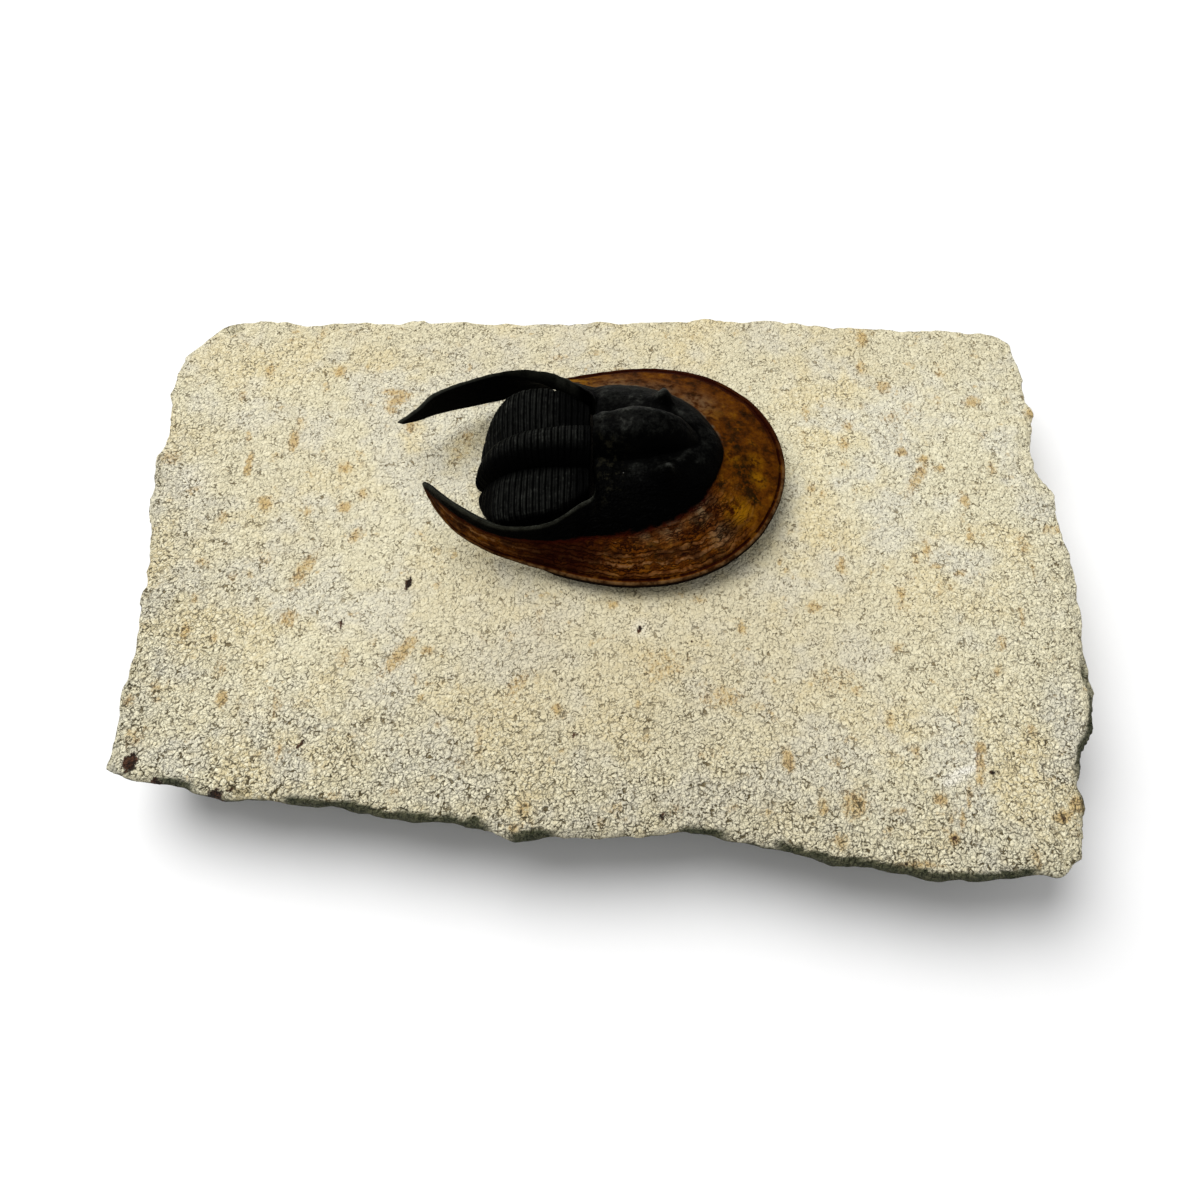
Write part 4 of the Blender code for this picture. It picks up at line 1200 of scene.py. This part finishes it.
def add_shield_relief(mesh, upper, told):
    """Raise the small relief of the shell and the cord out of its upper side."""
    facing = normals(mesh)
    if facing[:, 2].mean() < 0:
        facing = -facing
    fine = []
    for point, normal, (row, side, share, gap, _, run, to_crest) in zip(upper, facing, told):
        on_brim = (1.0 - smooth_step(share, 0.9, 1.05)) * (0.25 + 0.75 * lying_share(row))
        relief = shield_relief(point / MM, gap, run, on_brim, side)
        if row >= CORNER_SPOKE and share == CREST_SHARE:
            relief = 0.0
        raised = Vector((0.0, 0.0, cord_rise(row, to_crest)))
        fine.append(point + (Vector(normal) * relief + raised) * MM)
    set_coordinates(mesh, [tuple(point) for point in fine])


def add_underside(piece, lower):
    """Extrude the upper side and move the new points to their places on the underside."""
    mesh = piece.data
    take_up(piece)
    bpy.ops.object.mode_set(mode="EDIT")
    bpy.ops.mesh.select_all(action="SELECT")
    bpy.ops.mesh.remove_doubles(threshold=MERGE_DISTANCE)
    bpy.ops.mesh.extrude_region_move()
    bpy.ops.object.mode_set(mode="OBJECT")
    spots = read(mesh, "spot")
    places = coordinates(mesh)
    inner = [vertex.select for vertex in mesh.vertices]
    for index in np.flatnonzero(inner):
        places[index] = lower[int(round(spots[index]))]
    set_coordinates(mesh, places)
    store(mesh, "inner", inner)
    mesh.attributes.remove(mesh.attributes["spot"])


# Blotches and yellow patches of the brim: u, v, size and strength
BLOTCHES = ((17.7, 1.7, 1.3, 1.0), (15.8, -4.4, 1.3, 0.9), (20.1, -6.0, 1.4, 1.0), (18.5, -2.2, 1.7, 1.0),
            (18.0, 5.0, 1.6, 0.8), (20.3, 2.8, 1.2, 0.8), (18.9, -4.4, 1.5, 0.9), (16.2, 8.0, 1.4, 0.5),
            (21.6, -3.8, 1.0, 0.8), (13.0, -9.8, 1.6, 0.6), (15.3, -11.7, 1.6, 0.6), (6.4, -13.6, 2.2, 0.5),
            (0.5, -14.4, 1.5, 0.5), (4.1, 13.8, 2.2, 0.35))
YELLOW_PATCHES = ((20.6, -3.0, 0.9, 1.0), (18.0, -8.0, 1.6, 1.0), (17.2, -0.6, 0.9, 0.6),
                  (20.4, -0.4, 1.0, 0.6), (-4.5, 14.4, 3.2, 1.0), (15.0, 6.8, 1.2, 0.3))

# Greyish patches of the near brim, and places of the dome with a painted highlight, one with a negative
# strength that paints shade, in the same order
ASHEN_PATCHES = ((8.7, -10.3, 1.6, 0.9), (12.6, -8.2, 1.7, 0.8), (15.5, -11.2, 1.2, 0.6),
                 (5.5, -11.4, 1.3, 0.5), (8.0, 10.5, 2.6, 0.5), (13.0, 8.6, 2.4, 0.5), (2.0, 11.5, 3.0, 0.5))
PAINTED_LIGHT_PLACES = ((5.0, -5.4, 1.5, 0.3), (9.1, -5.9, 0.6, 0.5), (12.6, -2.9, 1.3, 0.12), (15.0, 1.8, 0.9, 0.2),
               (7.9, -6.3, 0.6, -0.4), (7.6, 6.0, 0.8, 0.2))


def patch_share(u, v, patches):
    """How strongly round patches cover a place on the brim."""
    share = np.zeros_like(u)
    for patch_u, patch_v, size, strength in patches:
        share = np.maximum(share, strength * np.exp(-((u - patch_u) ** 2 + (v - patch_v) ** 2) / size ** 2))
    return share


def store_head_facts(mesh, told):
    """Keep on the mesh what the head's material reads."""
    row, side, share, gap, past, run, to_crest = np.array(told).T
    u, v = fossil_places(mesh)
    far = side > 0
    near = fade(v, -3.0, -7.0) * fade(u, 21.0, 16.0)
    # Masks for the painted highlight along the cord and the blade's crest, and for the painted shade beside
    # the cord
    cord_width = np.where(far, 0.12, 0.38)
    cord_end = np.where(far, 7.0, 8.4)
    cord = hump(np.maximum(to_crest - cord_width, 0.0), 0.0, 0.22) * fade(row, cord_end, cord_end - 0.7)
    crest_line = fade(share, 1.9, 1.96) * fade(row, 6.5, 5.5)
    beside = hump(to_crest, 1.1, 0.3) * fade(row, 8.6, 7.9) * fade(row, 4.0, 6.0)
    facts = {
        "from_margin": gap,
        "past_foot": past,
        "near_side": near,
        "pale_rim": np.clip((8.0 - v) / 12.0, 0.12, 1.0),
        "deep": 0.92 * near * np.exp(-((u + 4.8) / 6.0) ** 4) * fade(gap, 0.1, 1.1),
        # Painted sheen along the foot of the dome on the far side
        "far_foot_sheen": 0.6 * fade(v, 1.0, 5.0) * (row > 8.0),
        # Painted shade on the near side of the dome and on the far blade
        "painted_dome_shade": np.maximum(fade(v, -3.5, -6.0) * (row > 7.0), far * fade(row, 9.0, 7.5)),
        "ashen": patch_share(u, v, ASHEN_PATCHES),
        "blotch": patch_share(u, v, BLOTCHES),
        "yellow": patch_share(u, v, YELLOW_PATCHES),
        "dust": hump(u, 1.0, 1.8) * hump(v, -5.0, 4.0) * (share > 1.2),
        "rim": np.maximum(cord, crest_line),
        "shade_beside_cord": beside * (share > 1.1),
    }
    for name, values in facts.items():
        store(mesh, name, values)


# Body

def body_centre(place):
    """The point of the furrow line at a place."""
    return spline(BODY_CURVE, place)


def body_length():
    """Length of the body's line from the neck to the end of the tail."""
    last = len(BODY_LINE) - 1
    points = [body_centre(last * step / LINE_SAMPLES) for step in range(LINE_SAMPLES + 1)]
    return sum((end - start).length for start, end in zip(points, points[1:]))


def place_at(length):
    """The place on the body's line at a length measured along it from the neck."""
    last = len(BODY_LINE) - 1
    walked = 0.0
    for step in range(LINE_SAMPLES):
        start = last * step / LINE_SAMPLES
        end = last * (step + 1) / LINE_SAMPLES
        stride = (body_centre(end) - body_centre(start)).length
        if walked + stride >= length:
            return start + (end - start) * (length - walked) / stride
        walked += stride
    return float(last)


def wandering(phase, spot):
    """A place within a rib, shifted a little, because the ribs aren't quite straight."""
    return (phase + RIB_WANDER * lumps(spot, 2.3, 3.0)) % 1.0


def at_groove(phase, width):
    """A soft hump over the groove at either end of a rib."""
    return bump(phase, width) + bump(phase - 1.0, width)


def rib_wave(phase, spot):
    """Relief over one segment from 0 to 1: a groove, a band, a faint furrow and a second, lower band."""
    phase = wandering(phase, spot)
    groove = -0.16 * (0.75 + 0.5 * lumps(spot, 1.7, 6.0)) * at_groove(phase, 0.09)
    furrow = -0.035 * bump(phase - MIDDLE_FURROW, 0.08)
    band = 0.08 * bump(phase - 0.34, 0.2) + 0.06 * bump(phase - 0.77, 0.13)
    return groove + furrow + band


def body_section(place, phase, half):
    """A closed cross-section of the body; half holds (part, share, height, side): part 0 is the axis, 1 the
    side lobe and 2 the underside."""
    centre = body_centre(place)
    direction = direction_at(BODY_CURVE, place)
    up = Vector((direction.z, 0.0, -direction.x))
    axis = between(AXIS_HALF_WIDTH, place)
    lobe = between(BODY_HALF_WIDTH, place) - axis
    rise = between(AXIS_RISE, place)
    points = []
    for part, share, height, sign in half:
        v = axis * share if part == 0 else axis + lobe * (share if part == 1 else UNDERSIDE_SHARE)
        wave = rib_wave(phase, centre + Vector((0.0, v * sign, 0.0)))
        if part == 2:
            h = -between(BODY_DEPTH, place)
        elif part == 1:
            h = height + wave * 0.85
        else:
            h = rise * height + wave
        sideways = min(abs(v) / (axis + lobe), 1.0)
        drift = between(BODY_DRIFT, place) * (1 - (1 - SIDE_DRIFT) * sideways)
        points.append(centre + up * h + Vector((0.0, v * sign + drift, 0.0)))
    return points


def rib_light_and_shade(point, centre, phase):
    """How strongly a place on the ribs gets a painted highlight, how much painted shade lies in its furrow,
    and how much painted shade falls on it from what stands near.
    """
    across = point.y
    phase = wandering(phase, Vector((centre.x, across, centre.z)))
    # Painted shade in the grooves between the ribs
    furrow = at_groove(phase, 0.14) + 0.45 * bump(phase - MIDDLE_FURROW, 0.08)
    rib = 1.0 - at_groove(phase, 0.17) - 0.6 * bump(phase - MIDDLE_FURROW, 0.1)
    rib *= 0.85 + 0.5 * lumps(Vector((centre.x, 0.4 * across, centre.z)), 1.3, 2.0)
    outside = smooth_step(abs(across), 8.6, 10.2)
    near_flank = smooth_step(across, -4.4, -3.0) * (1.0 - smooth_step(across, -1.8, -0.2))
    reach = 3.8 * smooth_step(across, 3.0, 4.0) + 1.4 * smooth_step(-across, 3.0, 4.0)
    under_head = smooth_step(centre.x, -3.4 - reach, -1.4 - 0.8 * reach)
    by_blade = (1.0 - smooth_step(centre.x, -14.2, -13.0)) * smooth_step(-across, 2.6, 3.6)
    shaded = max(near_flank, 0.92 * under_head, 0.9 * by_blade)
    return max(rib, 0.0) * (1.0 - outside), min(furrow, 1.0), shaded


def section_steps(fineness):
    """Points of the closed cross-section with more of them between the given ones."""
    knots = [(0, share, height) for share, height in AXIS_SECTION]
    knots += [(1, share, height) for share, height in SIDE_SECTION]
    right = []
    for (part, share, height), (next_part, next_share, next_height) in zip(knots, knots[1:]):
        steps = fineness if part == next_part else 1
        for step in range(steps):
            t = step / steps
            right.append((part, share + (next_share - share) * t, height + (next_height - height) * t, 1))
    right.append((*knots[-1], 1))
    right.append((2, 0.0, 0.0, 1))
    left = [(part, share, height, -1) for part, share, height, _ in right[1:]]
    return right[::-1] + left


def body_piece(name, node, start, length, ribs, rows_per_rib, finish):
    """A ribbed stretch of the body as a closed, finely meshed piece."""
    steps = section_steps(3)
    count = ribs * rows_per_rib
    points = []
    shell_tone = []
    for row in range(count + 1):
        phase = (row / rows_per_rib) % 1.0
        place = place_at(start + length * row / count)
        for point in body_section(place, phase, steps):
            points.append(placed(point, 1))
            shell_tone.append(rib_light_and_shade(point, body_centre(place), phase))
    piece = new_grid(name, count + 1, len(steps))
    mesh = piece.data
    set_coordinates(mesh, [tuple(point) for point in points])
    # Painted highlight and painted shade of the ribs
    for kind, values in zip(("lit_band", "furrow", "shaded"), zip(*shell_tone)):
        store(mesh, kind, values)
    wrap_around(piece, count + 1, len(steps))
    close_up(piece)
    roughen(mesh)
    # Paler on worn ridges, with a painted sheen where the body faces up and back
    store(mesh, "wear_and_light", 0.38 + 0.3 * convexity(mesh, 10, 0.06) + 0.35 * facing_sheen(mesh))
    finish_piece(piece, node, finish)


def wrap_around(piece, rows, columns):
    """Join the two long edges of a body grid under the animal, and close its two ends."""
    shape = bmesh.new()
    shape.from_mesh(piece.data)
    shape.verts.ensure_lookup_table()
    for row in range(rows - 1):
        first = row * columns
        after = first + columns
        corners = (first, after, after + columns - 1, first + columns - 1)
        shape.faces.new([shape.verts[index] for index in corners])
    shape.faces.new(shape.verts[:columns])
    shape.faces.new(shape.verts[(rows - 1) * columns:])
    shape.to_mesh(piece.data)
    shape.free()


def roughen(mesh):
    """Move a mesh's points a little along their normals, as worn calcite is never quite smooth."""
    places = coordinates(mesh)
    moves = np.array([layered_lumps(Vector(place) / MM, BODY_LUMPS) for place in places])
    set_coordinates(mesh, places + normals(mesh) * (moves * MM)[:, None])


# Studio

def set_up_camera(settings):
    """The camera at the photograph's angle."""
    lean = math.radians(settings.elevation)
    aim = Vector(settings.aim) * MM
    data = bpy.data.cameras.new("camera")
    data.sensor_width = SENSOR_WIDTH
    data.lens = SENSOR_WIDTH * settings.focal_pixels / IMAGE_SIDE
    data.clip_start = 0.001
    camera = bpy.data.objects.new("camera", data)
    camera.location = aim + Vector((0.0, -math.cos(lean), math.sin(lean))) * settings.distance
    camera.rotation_euler = (math.pi / 2 - lean, 0.0, 0.0)
    bpy.context.scene.collection.objects.link(camera)
    bpy.context.scene.camera = camera


def lay_floor(finish):
    """A wide plain floor under the block."""
    deselect_all()
    bpy.ops.mesh.primitive_plane_add(size=FLOOR_WIDTH)
    floor = bpy.context.object
    floor.name = "studio_floor"
    floor.data.materials.append(finish)


def light_the_scene(settings):
    """Pale surroundings and one large soft light from behind on the left."""
    world = bpy.data.worlds.new("studio")
    world.use_nodes = True
    background = world.node_tree.nodes["Background"]
    background.inputs["Color"].default_value = (1.0, 1.0, 1.0, 1.0)
    background.inputs["Strength"].default_value = settings.sky_strength
    bpy.context.scene.world = world
    bpy.context.scene.view_settings.view_transform = "Standard"
    data = bpy.data.lights.new("window", "AREA")
    data.shape = "DISK"
    data.size = WINDOW_WIDTH
    data.energy = settings.window_power
    window = bpy.data.objects.new("window", data)
    window.location = WINDOW_PLACE
    window.rotation_euler = (Vector(WINDOW_AIM) - Vector(WINDOW_PLACE)).to_track_quat("-Z", "Y").to_euler()
    bpy.context.scene.collection.objects.link(window)


# Settings, operators and panel

class BlockSettings(bpy.types.PropertyGroup):
    """Sizes and colours of the block of limestone."""

    block_detail: FloatProperty(name="Mesh detail", description="Size of the block's mesh faces",
                                default=0.00046, unit="LENGTH")
    grain_height: FloatProperty(name="Grain height", description="Height of the stone's grains",
                                default=0.00024, unit="LENGTH")
    stone_colour: FloatVectorProperty(name="Stone", description="Colour of most of the stone",
                                      default=(0.705, 0.65, 0.45), subtype="COLOR")
    warm_stone_colour: FloatVectorProperty(name="Warm stone", description="Colour of its warmer patches",
                                           default=(0.72, 0.61, 0.35), subtype="COLOR")
    grey_stone_colour: FloatVectorProperty(name="Grey stone", description="Colour of its greyer patches",
                                           default=(0.665, 0.635, 0.51), subtype="COLOR")
    ochre_colour: FloatVectorProperty(name="Stains", description="Colour of the rusty stains",
                                      default=(0.51, 0.335, 0.1), subtype="COLOR")


class FossilSettings(bpy.types.PropertyGroup):
    """Sizes of the fossil's detail."""

    rows_per_spoke: IntProperty(name="Rows", description="Mesh rows between two spokes of the head",
                                default=10, min=1)
    brim_columns: IntProperty(name="Brim columns", description="Mesh columns over the brim",
                              default=24, min=4)
    dome_columns: IntProperty(name="Dome columns", description="Mesh columns over the dome",
                              default=52, min=4)
    shell_grain: FloatProperty(name="Shell grain", description="Height of the shell's fine grain",
                               default=0.00007, unit="LENGTH")


class StudioSettings(bpy.types.PropertyGroup):
    """Camera, light and floor."""

    elevation: FloatProperty(name="Elevation", description="Camera's height angle in degrees",
                             default=PHOTO_SLOPE)
    distance: FloatProperty(name="Distance", description="Camera's distance from its aim",
                            default=PHOTO_DISTANCE * MM, unit="LENGTH")
    aim: FloatVectorProperty(name="Aim", description="Point at the picture's centre, in millimetres",
                             default=PHOTO_AIM)
    focal_pixels: FloatProperty(name="Focal length", description="In pixels of the photograph",
                                default=PHOTO_FOCAL)
    sky_strength: FloatProperty(name="Sky", description="Strength of the light from all round", default=0.46)
    window_power: FloatProperty(name="Window", description="Power of the large light in watts", default=6.2)
    floor_colour: FloatVectorProperty(name="Floor", description="Colour of the floor",
                                      default=(0.93, 0.93, 0.93), subtype="COLOR")


class TRILOBITE_OT_block(bpy.types.Operator):
    """Build the block of limestone"""

    bl_idname = "trilobite.block"
    bl_label = "Block of limestone"

    def execute(self, context):
        settings = context.scene.trilobite_block
        limestone_block(settings, limestone_material(settings, crumb_group()))
        return {"FINISHED"}


class TRILOBITE_OT_fossil(bpy.types.Operator):
    """Build the head shield, the body and the tail plate"""

    bl_idname = "trilobite.fossil"
    bl_label = "Fossil"

    def execute(self, context):
        settings = context.scene.trilobite_fossil
        calcite = calcite_group(grain_group())
        head_shield(settings, head_material(settings, calcite))
        body = body_material(settings, calcite)
        body_piece("ringed_body", "thorax", 0.0, THORAX_LENGTH, SEGMENTS, 8, body)
        tail = THORAX_LENGTH + PYGIDIUM_GAP
        body_piece("tail_plate", "pygidium", tail, body_length() - tail, PYGIDIUM_RIBS, 6, body)
        return {"FINISHED"}


class TRILOBITE_OT_studio(bpy.types.Operator):
    """Set up the camera, the light and the floor"""

    bl_idname = "trilobite.studio"
    bl_label = "Studio"

    def execute(self, context):
        settings = context.scene.trilobite_studio
        set_up_camera(settings)
        light_the_scene(settings)
        lay_floor(floor_material(settings))
        return {"FINISHED"}


class TRILOBITE_PT_panel(bpy.types.Panel):
    """Sizes, colours and the operators that build the pieces"""

    bl_label = "Trilobite"
    bl_idname = "TRILOBITE_PT_panel"
    bl_space_type = "VIEW_3D"
    bl_region_type = "UI"
    bl_category = "Trilobite"

    def draw(self, context):
        for group in (context.scene.trilobite_block, context.scene.trilobite_fossil,
                      context.scene.trilobite_studio):
            box = self.layout.box()
            for name in group.__annotations__:
                box.prop(group, name)
        for operator in OPERATORS:
            self.layout.operator(operator.bl_idname)


GROUPS = {"trilobite_block": BlockSettings, "trilobite_fossil": FossilSettings,
          "trilobite_studio": StudioSettings}
OPERATORS = (TRILOBITE_OT_studio, TRILOBITE_OT_block, TRILOBITE_OT_fossil)


def register():
    """Register the settings, the operators and the panel."""
    for name, group in GROUPS.items():
        bpy.utils.register_class(group)
        setattr(bpy.types.Scene, name, PointerProperty(type=group))
    for shown in (*OPERATORS, TRILOBITE_PT_panel):
        bpy.utils.register_class(shown)


def unregister():
    """Take all of it away again."""
    for shown in (TRILOBITE_PT_panel, *reversed(OPERATORS)):
        bpy.utils.unregister_class(shown)
    for name, group in GROUPS.items():
        delattr(bpy.types.Scene, name)
        bpy.utils.unregister_class(group)


def main():
    """Build everything."""
    register()
    bpy.ops.trilobite.studio()
    bpy.ops.trilobite.block()
    bpy.ops.trilobite.fossil()


if __name__ == "__main__":
    main()
